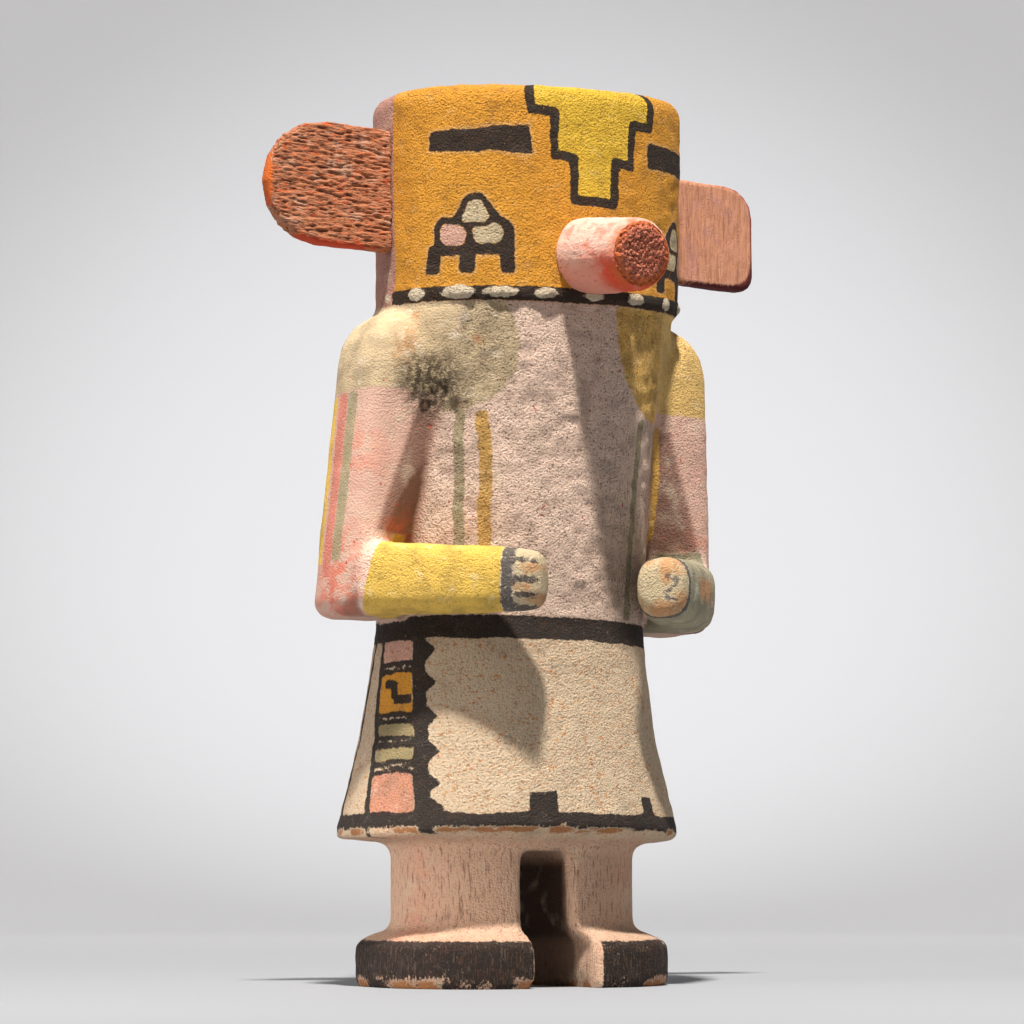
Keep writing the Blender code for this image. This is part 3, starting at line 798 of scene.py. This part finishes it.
def averaged(values, edges, rounds, share=0.5):
    """Values, one or three a vertex, drawn towards the mean of their neighbours."""
    count = np.bincount(edges.reshape(-1), minlength=len(values))
    flat = values.reshape(len(values), -1).copy()
    for _ in range(rounds):
        for column in range(flat.shape[1]):
            known = flat[:, column]
            total = np.bincount(edges[:, 0], known[edges[:, 1]], len(known))
            total += np.bincount(edges[:, 1], known[edges[:, 0]], len(known))
            flat[:, column] = known + share * (total / count - known)
    return flat.reshape(values.shape)


def shown(name, data):
    """A new object in the scene."""
    made = bpy.data.objects.new(name, data)
    bpy.context.scene.collection.objects.link(made)
    return made


def fine_copy(node, voxel, smoothing):
    """A copy of a node's solid, remeshed into small even faces and softened, that stands for the node."""
    mesh = frame["nodes"][node].data.copy()
    mesh.materials.clear()
    made = shown(f"{node}_wood", mesh)
    remesh = made.modifiers.new("fine faces", "REMESH")
    remesh.mode = "VOXEL"
    remesh.voxel_size = voxel
    graph = bpy.context.evaluated_depsgraph_get()
    fine = bpy.data.meshes.new_from_object(made.evaluated_get(graph))
    made.modifiers.clear()
    made.data = fine
    fine.name = made.name
    bpy.data.meshes.remove(mesh)
    write_points(fine, averaged(read_points(fine), read_edges(fine), smoothing))
    fine.shade_smooth()
    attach(made, "root")
    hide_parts(node)
    return made


def convexity(mesh):
    """How far each vertex stands out from its neighbours, in millimetres, evened out a little."""
    points, normals, edges = read_points(mesh), read_normals(mesh), read_edges(mesh)
    out = np.einsum("ij,ij->i", points - averaged(points, edges, 1, 1.0), normals) / MM
    return averaged(out, edges, 3)


def store(mesh, name, values):
    """Keeps one number, or one colour, a vertex under a name that the shader reads."""
    kind, key = ("FLOAT", "value") if values.ndim == 1 else ("FLOAT_COLOR", "color")
    mesh.attributes.new(name, kind, "POINT").data.foreach_set(key, values.reshape(-1).astype(np.float32))


# Shaders


class Shader:
    """A node material that is built by small calls."""

    def __init__(self, name, roughness):
        self.material = bpy.data.materials.new(name)
        self.material.use_nodes = True
        self.tree = self.material.node_tree
        self.principled = self.tree.nodes["Principled BSDF"]
        self.principled.inputs["Roughness"].default_value = roughness
        self.principled.inputs["Specular IOR Level"].default_value = 0.25
        self.place = self.tree.nodes.new("ShaderNodeTexCoord").outputs["Object"]

    def feed(self, socket, value):
        if isinstance(value, bpy.types.NodeSocket):
            self.tree.links.new(value, socket)
        else:
            socket.default_value = value

    def math(self, operation, first, second):
        made = self.tree.nodes.new("ShaderNodeMath")
        made.operation = operation
        self.feed(made.inputs[0], first)
        self.feed(made.inputs[1], second)
        return made.outputs[0]

    def plus(self, first, second):
        return self.math("ADD", first, second)

    def minus(self, first, second):
        return self.math("SUBTRACT", first, second)

    def times(self, first, second):
        return self.math("MULTIPLY", first, second)

    def range(self, value, low, high, to_low=0.0, to_high=1.0):
        made = self.tree.nodes.new("ShaderNodeMapRange")
        made.interpolation_type = "SMOOTHSTEP"
        self.feed(made.inputs["Value"], value)
        limits = {"From Min": low, "From Max": high, "To Min": to_low, "To Max": to_high}
        for key, number in limits.items():
            made.inputs[key].default_value = number
        return made.outputs[0]

    def noise(self, size, detail=3.0, stretch=(1.0, 1.0, 1.0), roughness=0.55):
        """Noise, 0 to 1, with lumps of a size in millimetres."""
        mapping = self.tree.nodes.new("ShaderNodeMapping")
        mapping.inputs["Scale"].default_value = [1 / factor for factor in stretch]
        self.tree.links.new(self.place, mapping.inputs["Vector"])
        made = self.tree.nodes.new("ShaderNodeTexNoise")
        made.inputs["Scale"].default_value = 1 / (size * MM)
        made.inputs["Detail"].default_value = detail
        made.inputs["Roughness"].default_value = roughness
        self.tree.links.new(mapping.outputs[0], made.inputs["Vector"])
        return made.outputs[0]

    def attribute(self, name, output="Fac"):
        made = self.tree.nodes.new("ShaderNodeAttribute")
        made.attribute_name = name
        return made.outputs[output]

    def mix(self, below, above, share):
        """A share of one colour over another. The colour sockets are inputs 6 and 7, and output 2."""
        made = self.tree.nodes.new("ShaderNodeMix")
        made.data_type = "RGBA"
        self.feed(made.inputs["Factor"], share)
        self.feed(made.inputs[6], below)
        self.feed(made.inputs[7], above)
        return made.outputs[2]

    def bump(self, height, depth):
        """Fine relief of a depth in millimetres."""
        made = self.tree.nodes.new("ShaderNodeBump")
        made.inputs["Strength"].default_value = 1.0
        made.inputs["Distance"].default_value = depth * MM
        self.feed(made.inputs["Height"], height)
        return made.outputs[0]

    def finish(self, colour, normal):
        self.feed(self.principled.inputs["Base Color"], colour)
        self.feed(self.principled.inputs["Normal"], normal)
        return self.material


def paint_grain(look):
    """The noises and marks that the paint's layers share."""
    return SimpleNamespace(
        fray=look.minus(look.noise(1.3, 3.0, roughness=0.65), 0.5),
        wear=look.noise(0.7, 4.0, (1.0, 1.0, 1.5), 0.7),
        patches=look.noise(7.0, 4.0),
        chalk=look.noise(4.5, 4.0, (1.0, 1.0, 0.7), 0.6),
        lumps=look.noise(1.6, 4.0, (1.2, 1.2, 0.9), 0.72),
        grains=look.noise(0.55, 2.0, roughness=0.6),
        fibres=look.noise(0.6, 3.0, (1.0, 1.0, 7.0), 0.6),
        worn=look.attribute("worn"),
        coarse=look.attribute("coarse"),
        fibrous=look.attribute("fibrous"),
    )


def first_coat(look, grain):
    """The pale ground, with creamier patches and redder blushes."""
    colour = look.attribute("ground", "Color")
    colour = look.mix(colour, linear(CREAM), look.range(grain.patches, 0.52, 0.72, 0.0, 0.35))
    blush = look.times(look.attribute("blush"), look.range(grain.chalk, 0.36, 0.60))
    return look.mix(colour, linear(BLUSH), blush)


def fleck_share(look, grain):
    """Where small warm flecks show, in clusters."""
    flecks = look.range(look.noise(0.9, 3.0, (1.2, 1.2, 0.8), 0.65), 0.545, 0.63, 0.0, 0.9)
    flecks = look.times(flecks, look.range(grain.chalk, 0.38, 0.60, 0.25, 1.0))
    return look.times(flecks, look.attribute("flecked"))


def pigment_coat(look, grain, name):
    """A pigment's mottled colour, and how far it covers what lies below it."""
    seen, opacity, ragged, soft, wears, mottle = PIGMENT_LOOKS[name]
    edge = look.plus(look.attribute(f"paint_{name}"), look.times(grain.fray, ragged * FRAY))
    cover = look.range(edge, soft / 2, -soft / 2, 0.0, opacity)
    wear = look.plus(grain.wear, look.times(grain.worn, 0.5))
    thin = look.range(wear, wears, wears + 0.14, 1.0, 0.15)
    deep = [DEEPER * value for value in seen]
    light = [value + LIGHTER * (255 - value) for value in seen]
    shade = look.mix(linear(seen), linear(deep), look.range(grain.patches, 0.42, 0.66, 0.0, mottle))
    shade = look.mix(shade, linear(light), look.range(grain.chalk, 0.54, 0.72, 0.0, 0.8 * mottle))
    return shade, look.times(cover, thin)


def pigment_coats(look, grain, colour):
    """All pigments in turn. The flecks lie over the coloured ones and below the dark ones."""
    streaks = look.times(look.attribute("streaked"), look.range(grain.fibres, 0.56, 0.64))
    for name in PIGMENT_LOOKS:
        if name == FIRST_OVER_FLECKS:
            colour = look.mix(colour, linear(FLECK_ORANGE), fleck_share(look, grain))
        shade, cover = pigment_coat(look, grain, name)
        if name == "soot":
            cover = look.times(cover, look.minus(1.0, streaks))
        colour = look.mix(colour, shade, cover)
    return colour


def wear_marks(look, grain, colour):
    """Bare edges, red dots, dark hollows and pores with painted shade in their pits, the crumbly armpit's
    painted shade and cracks, and split fibres.
    """
    chipped = look.plus(grain.worn, look.times(look.minus(grain.wear, 0.5), 1.2))
    colour = look.mix(colour, linear(BARE_WOOD), look.range(chipped, 0.62, 0.8))
    dots = look.range(look.noise(1.5, 1.0), 0.735, 0.77, 0.0, 0.8)
    colour = look.mix(colour, linear(RED_DOT), look.times(dots, look.attribute("dotted")))
    # Darker in the relief's low spots, and painted shade in the armpit's sunken tufts
    colour = look.mix(colour, linear(DARK_WOOD_AND_SHADE), look.times(look.attribute("hollow"), 0.22))
    # Dark where the relief's lumps and grains are low: partly open grain, partly painted shade in the pits
    pores_and_pit_shade = look.range(look.plus(look.times(grain.lumps, 0.5), grain.grains), 0.72, 0.50, 0.0, 0.75)
    pores_and_pit_shade = look.times(pores_and_pit_shade, look.range(grain.coarse, 0.0, 1.0, 0.30, 1.0))
    colour = look.mix(colour, linear(DARK_WOOD_AND_SHADE), pores_and_pit_shade)
    # Painted shade over the crumbly armpit, and darker cracks in it that are partly its rough wood and
    # partly painted shade
    crevice = look.attribute("crevice")
    cracks = look.range(look.noise(1.3, 3.0, (1.0, 1.0, 1.4), 0.7), 0.62, 0.44)
    cracks = look.times(cracks, look.range(crevice, 0.15, 0.8, 0.0, 0.85))
    colour = look.mix(colour, linear(CREVICE_SHADE), look.range(crevice, 0.2, 1.0, 0.0, 0.75))
    colour = look.mix(colour, linear(CREVICE_DARK), cracks)
    splits = look.times(look.range(grain.fibres, 0.46, 0.33), look.range(grain.fibrous, 0.08, 0.40))
    return look.mix(colour, linear(DARK_WOOD_AND_SHADE), look.times(splits, 0.6))


def paint_relief(look, grain):
    """The height of lumps, grains and fibres, more where the wood is coarse or fibrous."""
    height = look.times(grain.lumps, grain.coarse)
    height = look.plus(height, look.times(grain.grains, look.range(grain.coarse, 0.0, 1.0, 0.22, 1.15)))
    return look.plus(height, look.times(grain.fibres, grain.fibrous))


def painted_wood():
    """Layers of matt mineral paint over a pale first coat, worn through on edges and open grain."""
    look = Shader("painted_root_wood", 0.92)
    grain = paint_grain(look)
    colour = wear_marks(look, grain, pigment_coats(look, grain, first_coat(look, grain)))
    return look.finish(colour, look.bump(paint_relief(look, grain), 1.4))


# Each ear's colours; its groove colour is partly dark grain and partly painted shade
EAR_COLOURS = {
    "right_ear": {
        "paint": (184, 118, 84),
        "worn": (188, 142, 116),
        "groove": (92, 52, 38),
        "fleck": (204, 90, 44),
        "rim": (206, 104, 44),
        "low_rim": (196, 74, 46),
    },
    "left_ear": {
        "paint": (200, 142, 112),
        "worn": (196, 140, 122),
        "groove": (120, 70, 54),
        "fleck": (150, 84, 62),
        "rim": (150, 76, 66),
        "low_rim": (88, 34, 36),
    },
}
# How strongly each ear's flecks show and its grooves are darkened with painted shade
EAR_CONTRAST = {"right_ear": 0.75, "left_ear": 0.28}


def ear_wood(node, along, depth):
    """Thin paint on ridged wood with its grain along one axis, grooves darkened partly as dark grain and
    partly as painted shade, and brighter flecks.
    """
    contrast = EAR_CONTRAST[node]
    seen = {part: linear(colour) for part, colour in EAR_COLOURS[node].items()}
    look = Shader(f"{node}_paint", 0.88)
    streaks = look.noise(0.5, 3.0, along, 0.6)
    grains = look.noise(0.45, 2.0)
    patches = look.noise(6.0, 4.0)
    flecks = look.noise(1.1, 3.0, [1 + 0.35 * (stretch - 1) for stretch in along], 0.6)
    colour = look.mix(seen["paint"], seen["worn"], look.range(patches, 0.50, 0.68))
    colour = look.mix(colour, seen["fleck"], look.range(flecks, 0.56, 0.66, 0.0, 1.2 * contrast))
    # Darker in the grooves between the ridges: partly dark grain, partly painted shade
    colour = look.mix(colour, seen["groove"], look.range(streaks, 0.48, 0.34, 0.0, 1.2 * contrast))
    colour = look.mix(colour, seen["groove"], look.times(look.attribute("hollow"), contrast))
    rim = look.mix(seen["rim"], seen["low_rim"], look.attribute("low"))
    frayed = look.plus(look.attribute("rim"), look.minus(flecks, 0.5))
    colour = look.mix(colour, rim, look.range(frayed, 0.30, 0.85))
    height = look.plus(look.times(streaks, depth), look.times(grains, 0.22))
    return look.finish(colour, look.bump(height, 1.0))


def snout_wood():
    """Pink paint on the peg, bare dark end grain at its tip with an orange ring."""
    look = Shader("pink_snout_paint", 0.88)
    patches = look.noise(4.0, 4.0)
    streaks = look.noise(0.6, 3.0, (1.0, 4.0, 1.0), 0.6)
    grains = look.noise(0.38, 3.0, roughness=0.65)
    colour = look.mix(linear(SNOUT_PINK), linear(SNOUT_SALMON), look.range(patches, 0.46, 0.66))
    colour = look.mix(colour, linear(SNOUT_SALMON), look.attribute("low"))
    colour = look.mix(colour, linear(SNOUT_RED), look.attribute("low_red"))
    colour = look.mix(colour, linear(DARK_WOOD_AND_SHADE), look.range(streaks, 0.40, 0.30, 0.0, 0.5))
    colour = look.mix(colour, linear(TIP_RING), look.times(look.attribute("scorch"), 0.75))
    tip = look.mix(linear(TIP_DARK), linear(TIP_PALE), look.range(grains, 0.44, 0.60))
    tip = look.mix(tip, linear(TIP_RING), look.attribute("ring"))
    colour = look.mix(colour, tip, look.attribute("tip"))
    height = look.plus(look.times(streaks, 0.25), look.times(grains, 0.28))
    return look.finish(colour, look.bump(height, 1.0))


# Pieces

mounts = {mount["name"]: Vector(mount["pos_m"]) for mount in frame["record"]["mounts"]}
AXIS = np.array((mounts["right_sole"] + mounts["left_sole"]) / 2)
SOLE_EDGE = 0.7


def doll_points(mesh):
    """The mesh's points in millimetres from the doll's axis."""
    return (read_points(mesh) - AXIS) / MM


def node_box(node):
    """The middle and the half sizes of a node's box, in millimetres from the doll's axis."""
    low, high = (np.array(corner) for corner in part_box(node))
    return ((low + high) / 2 - AXIS) / MM, (high - low) / 2 / MM


def carve(mesh, rise):
    """Moves the surface out along its normals by some millimetres, and keeps the soles on the floor."""
    points = read_points(mesh)
    standing = points[:, 2] < SOLE_EDGE * MM
    points = points + read_normals(mesh) * (rise * MM)[:, None]
    points[standing, 2] = 0.0
    points[:, 2] = np.maximum(points[:, 2], 0.0)
    write_points(mesh, points)


# Relief of the block, all in millimetres: depths first, then the sizes of the noise that shapes it
WIDE_CUT_DEPTH, WIDE_CUT_SIZE = 0.28, 17.0
FINE_CUT_DEPTH, FINE_CUT_SIZE = 0.16, 6.0
LUMP_DEPTH, LUMP_SIZE = 0.11, 2.8
PIT_DEPTH = 0.15
ROW_DEPTH, ROW_SIZE = 0.20, 3.2
ROW_MIDDLE = (6.0, 148.0)
ROW_HALF = (18.0, 17.0)
TUFT_RISE, TUFT_SINK = 1.1, 0.5
NICK_REACH, NICK_SIZE = 0.9, 5.0
CHIP_DEPTH = 0.45
BEAD_RISE = 0.7
# Place, radius and strength of the crumbly hollow in the right armpit, which also carries painted shade
ARMPIT = (-35.8, -18.8, 159.8, 9.0, 1.0)
# How coarse the surface is: a ground value, and what each region adds
COARSE_GROUND = 0.55
COARSENESS = {
    "torso": 1.3,
    "head": 0.40,
    "kilt": 0.25,
    "near_arm": -0.42,
    "far_arm": 0.1,
    "groove": 0.8,
    "armpit": 1.2,
}


def region_shares(b):
    """How far each point belongs to each region of the block, 0 to 1."""
    s, _ = b.torso_at
    arms = ramp(-np.minimum(b.on_arm(-1), b.on_arm(1)), -1.0, 2.0)
    near_arm = ramp(-b.on_arm(-1), -1.0, 2.0)
    torso = ramp(-b.on_torso(), -1.0, 2.0)
    return {
        "arms": arms,
        "near_arm": near_arm,
        "far_arm": arms - near_arm,
        "torso": torso,
        "kilt": ramp(-b.on_kilt(), -1.0, 1.0),
        "head": ramp(b.above_chin, -0.5, 0.5),
        "legs": ramp(b.z, HEM_Z - 1.0, HEM_Z - 4.0),
        "groove": ramp(-b.arm[-1], -7.0, 0.0) * ramp(s, -22.0, -32.0) * ramp(b.z, 160.0, 145.0) * torso,
        "armpit": blobs(b.points, [ARMPIT]),
    }


def coarseness(share, edges):
    coarse = COARSE_GROUND
    for region, more in COARSENESS.items():
        coarse = coarse + more * share[region]
    return averaged(coarse, edges, 3)


def chipped(b, edge):
    """Where the wood is chipped, 0 to 1: on sharp edges, the hem and the lower edges of the feet."""
    low_edges = np.maximum(ramp(np.abs(b.z - HEM_Z), 2.2, 0.2) * (b.z < HEM_Z + 1.2), ramp(b.z, 4.6, 0.5))
    nicks = NICK_REACH * noise(b.points, NICK_SIZE, 6)
    return np.maximum(ramp(edge * 9.0 + nicks, 0.9, 1.9), low_edges * ramp(nicks, -0.5, 0.4))


def tool_rows(b):
    """Rows of shallow tool marks across the chest, about -1 to 1."""
    s, z = b.torso_at
    away = np.hypot((s - ROW_MIDDLE[0]) / ROW_HALF[0], (z - ROW_MIDDLE[1]) / ROW_HALF[1])
    return ramp(-away, -1.0, -0.4) * noise(b.points, ROW_SIZE, 4, 1, (2.6, 2.6, 0.7))


def figure():
    """The carved block, with hand-cut unevenness, open grain, pits and worn edges."""
    made = fine_copy("figure", BLOCK_VOXEL, 3)
    mesh = made.data
    b = Block(doll_points(mesh))
    p = b.points
    share = region_shares(b)
    torso, arms, kilt, armpit = (share[region] for region in ("torso", "arms", "kilt", "armpit"))
    coarse = coarseness(share, read_edges(mesh))
    cuts = WIDE_CUT_DEPTH * noise(p, WIDE_CUT_SIZE, 1)
    cuts = cuts + FINE_CUT_DEPTH * noise(p, FINE_CUT_SIZE, 2, 2, (1.0, 1.0, 1.8))
    lumps = noise(p, LUMP_SIZE, 3, 1, (1.3, 1.3, 0.9))
    pits = PIT_DEPTH * ramp(noise(p, LUMP_SIZE, 5, 1), 0.72, 1.1)
    tufts = armpit * (TUFT_RISE * noise(p, LUMP_SIZE, 7, 2, (1.0, 1.0, 1.6)) - TUFT_SINK)
    chips = chipped(b, convexity(mesh))
    paint = all_paint(b)
    beads = BEAD_RISE * ramp(-paint["beads"] + 0.4 * noise(p, 1.8, 8, 1), -0.1, 0.8)
    relief = cuts + coarse * (LUMP_DEPTH * lumps - pits) + ROW_DEPTH * (tool_rows(b) * torso)
    carve(mesh, relief + tufts - CHIP_DEPTH * chips + beads)
    for name, distance in paint.items():
        store(mesh, f"paint_{name}", np.clip(distance, -FAR_AWAY, FAR_AWAY))
    # Darker in the low spots of the relief; in the armpit's sunken tufts this is painted shade
    hollow = ramp(-lumps * coarse, 0.5, 1.2) + 2.6 * armpit * ramp(-tufts, 0.0, 1.0)
    side_fibres = 0.16 * torso * ramp(b.torso_at[0], 4.0, 16.0)
    fibrous = 0.10 + 0.30 * share["legs"] + 0.12 * kilt * ramp(b.z, 60.0, 92.0) + side_fibres
    store(mesh, "ground", ground_colour(b))
    store(mesh, "blush", blobs(p, BLUSHES))
    store(mesh, "worn", chips)
    store(mesh, "hollow", np.clip(hollow, 0.0, 1.0))
    store(mesh, "coarse", coarse * 0.62)
    store(mesh, "fibrous", fibrous - 0.06 * arms)
    store(mesh, "flecked", np.clip(kilt + 0.25 * share["head"] + 0.2 * torso, 0.0, 1.0))
    store(mesh, "dotted", np.clip(torso + arms, 0.0, 1.0))
    store(mesh, "streaked", ramp(b.z, FOOT_Z + 2.0, FOOT_Z + 1.0) * 0.10)
    # Where the armpit's painted shade and dark cracks lie
    store(mesh, "crevice", armpit)
    mesh.materials.append(painted_wood())
    return made


def ear(node, along, ridge, size, depth):
    """An ear with its grain in ridges of a height and a size, fine relief of a depth, and a painted rim."""
    made = fine_copy(node, EAR_VOXEL, 2)
    mesh = made.data
    p = doll_points(mesh)
    ridges = noise(p, size, 21, 2, along)
    middle, half = node_box(node)
    away = (p - middle) / half
    sideways = away[:, 0] * np.sign(middle[0])
    upward = away[:, 2]
    outward = np.hypot(np.maximum(sideways, 0.0) ** 2, upward**2)
    rim = ramp(outward, 0.72, 0.98) * ramp(sideways - 0.5 * upward, -0.9, 0.5)
    carve(mesh, ridge * (ridges - 0.6) * (1 - 0.8 * rim) + 0.12 * noise(p, 6.0, 22))
    store(mesh, "rim", rim)
    store(mesh, "low", ramp(upward, -0.1, -0.7))
    # Low between the ridges, where the shader lays painted shade
    store(mesh, "hollow", ramp(-ridges, 0.15, 0.8))
    mesh.materials.append(ear_wood(node, along, depth))
    return made


SNOUT_DROOP = math.radians(9.5)


def snout():
    """The peg, with tool marks along it and rough end grain at its tip."""
    made = fine_copy("snout", SNOUT_VOXEL, 2)
    mesh = made.data
    p = doll_points(mesh)
    middle, _ = node_box("snout")
    direction = np.array((0.0, -math.cos(SNOUT_DROOP), -math.sin(SNOUT_DROOP)))
    along = (p - middle) @ direction
    radial = np.linalg.norm(p - middle - along[:, None] * direction, axis=1)
    end = along.max()
    tip = ramp(along, end - 1.1, end - 0.5)
    grains = noise(p, 0.62, 31, 2)
    rim = ramp(along, end - 3.4, end - 0.3) * ramp(radial, 5.4, 9.0)
    bulge = ramp(along, 6.0, -8.0) * ramp(p[:, 0] - middle[0], 0.0, -8.0)
    uneven = 0.20 * noise(p, 5.0, 32) + 0.07 * grains
    carve(mesh, uneven + tip * 0.30 * (grains - 0.5) - 1.1 * rim + 1.3 * bulge)
    smudges = noise(p, 4.0, 33)
    up = p[:, 2] - middle[2] + along * math.sin(SNOUT_DROOP)
    store(mesh, "tip", tip)
    store(mesh, "ring", tip * ramp(radial + 0.7 * grains, 6.2, 8.4))
    store(mesh, "scorch", ramp(along, end - 4.5, end - 0.5) * ramp(noise(p, 3.0, 34), -0.6, 0.5))
    store(mesh, "low", ramp(up + 1.5 * smudges, 1.0, -7.0))
    store(mesh, "low_red", ramp(up, 2.0, -5.0) * ramp(along, -1.0, 8.0) * ramp(smudges, -1.3, -0.1))
    mesh.materials.append(snout_wood())
    return made


# Camera, light and floor


# The room in metres: a round floor that bends up into a wall
ROOM_RADIUS = 2.2
ROOM_BEND = 0.9
ROOM_HEIGHT = 2.6
ROOM_SIDES = 96
BEND_STEPS = 12

WARM_WHITE = (1.0, 0.95, 0.88)
SOFT_WHITE = (1.0, 0.95, 0.89)
PLAIN_WHITE = (1.0, 1.0, 1.0)
SKY_WHITE = (0.95, 0.97, 1.0, 1.0)
SKY_STRENGTH = 0.012
CHEST_HEIGHT = 0.14
FOOT_HEIGHT = 0.018


def facing(direction):
    return direction.to_track_quat("-Z", "Y").to_euler()


def raised(height):
    return Vector((0.0, 0.0, height))


def camera():
    made = shown("camera", bpy.data.cameras.new("camera"))
    made.data.sensor_width = SENSOR_WIDTH
    made.data.lens = FOCAL_PIXELS / IMAGE_WIDTH * SENSOR_WIDTH
    made.location = Vector(AXIS) - FORWARD * CAMERA_DISTANCE + raised(CAMERA_HEIGHT)
    made.rotation_euler = (math.pi / 2 + CAMERA_PITCH, 0.0, -CAMERA_YAW)
    bpy.context.scene.camera = made


def lamp(name, azimuth, elevation, distance, size, power, colour, aim=CHEST_HEIGHT, spread=180.0):
    """A soft square light that faces the doll. Azimuth 0 is in front of it, and grows to its left."""
    made = shown(name, bpy.data.lights.new(name, "AREA"))
    made.data.energy = power
    made.data.size = size
    made.data.color = colour
    made.data.spread = math.radians(spread)
    made.visible_camera = False
    a, e = math.radians(azimuth), math.radians(elevation)
    away = Vector((math.sin(a) * math.cos(e), -math.cos(a) * math.cos(e), math.sin(e)))
    made.location = Vector(AXIS) + raised(aim) + away * distance
    made.rotation_euler = facing(-away)


def backdrop_glow():
    """A spot from above and behind the doll that brightens the wall behind it."""
    made = shown("backdrop_glow", bpy.data.lights.new("backdrop_glow", "SPOT"))
    made.data.energy = 66.0
    made.data.spot_size = math.radians(50.0)
    made.data.spot_blend = 1.0
    made.location = FORWARD * 0.6 + raised(1.4)
    made.rotation_euler = facing(FORWARD * ROOM_RADIUS + raised(0.25) - made.location)


def lights():
    """A warm key from above, weak fill from the side, a grazing one on the feet, and a rim light behind."""
    lamp("key", azimuth=-29.0, elevation=65.0, distance=2.6, size=0.16, power=142.0, colour=WARM_WHITE)
    lamp("side", azimuth=-82.0, elevation=22.0, distance=1.2, size=0.45, power=3.6, colour=SOFT_WHITE)
    lamp(
        "low",
        azimuth=-76.0,
        elevation=0.5,
        distance=0.55,
        size=0.06,
        power=0.013,
        colour=SOFT_WHITE,
        aim=FOOT_HEIGHT,
        spread=14.0,
    )
    lamp("back", azimuth=150.0, elevation=30.0, distance=1.4, size=0.5, power=1.0, colour=PLAIN_WHITE)
    backdrop_glow()
    world = bpy.data.worlds.new("soft_sky")
    world.use_nodes = True
    sky = world.node_tree.nodes["Background"]
    sky.inputs["Color"].default_value = SKY_WHITE
    sky.inputs["Strength"].default_value = SKY_STRENGTH
    bpy.context.scene.world = world


def room_mesh():
    """A disc, rings of faces that bend up from it, and an upright wall."""
    flat = ROOM_RADIUS - ROOM_BEND
    turns = [math.pi / 2 * step / BEND_STEPS for step in range(BEND_STEPS + 1)]
    rings = [(flat + ROOM_BEND * math.sin(turn), ROOM_BEND - ROOM_BEND * math.cos(turn)) for turn in turns]
    rings.append((ROOM_RADIUS, ROOM_HEIGHT))
    vertices = [(0.0, 0.0, 0.0)]
    for radius, z in rings:
        for i in range(ROOM_SIDES):
            turn = 2 * math.pi * i / ROOM_SIDES
            vertices.append((radius * math.cos(turn), radius * math.sin(turn), z))
    faces = []
    for i in range(ROOM_SIDES):
        j = (i + 1) % ROOM_SIDES
        faces.append((0, 1 + i, 1 + j))
        for ring in range(len(rings) - 1):
            low = 1 + ring * ROOM_SIDES
            high = low + ROOM_SIDES
            faces.append((low + i, high + i, high + j, low + j))
    mesh = bpy.data.meshes.new("studio_floor")
    mesh.from_pydata(vertices, [], faces)
    mesh.shade_smooth()
    return mesh


def studio_floor():
    """The pale floor and wall, darker in front of the doll, so that its shaded side stays deep."""
    floor = shown("studio_floor", room_mesh())
    look = Shader("studio_white", 0.9)
    place = look.tree.nodes.new("ShaderNodeSeparateXYZ")
    look.tree.links.new(look.place, place.inputs[0])
    deep = look.times(place.outputs[0], FORWARD.x)
    deep = look.plus(deep, look.times(place.outputs[1], FORWARD.y))
    colour = look.mix(linear(NEAR_FLOOR), linear(FAR_FLOOR), look.range(deep, 0.1, 1.4))
    colour = look.mix(colour, linear(FRONT_FLOOR), look.range(deep, -0.15, -0.7))
    look.feed(look.principled.inputs["Base Color"], colour)
    floor.data.materials.append(look.material)


camera()
studio_floor()
lights()
figure()
ear("right_ear", along=(5.0, 1.0, 1.0), ridge=0.34, size=0.55, depth=0.50)
ear("left_ear", along=(1.0, 1.0, 9.0), ridge=0.14, size=0.8, depth=0.30)
snout()

bpy.context.scene.view_settings.view_transform = "Standard"
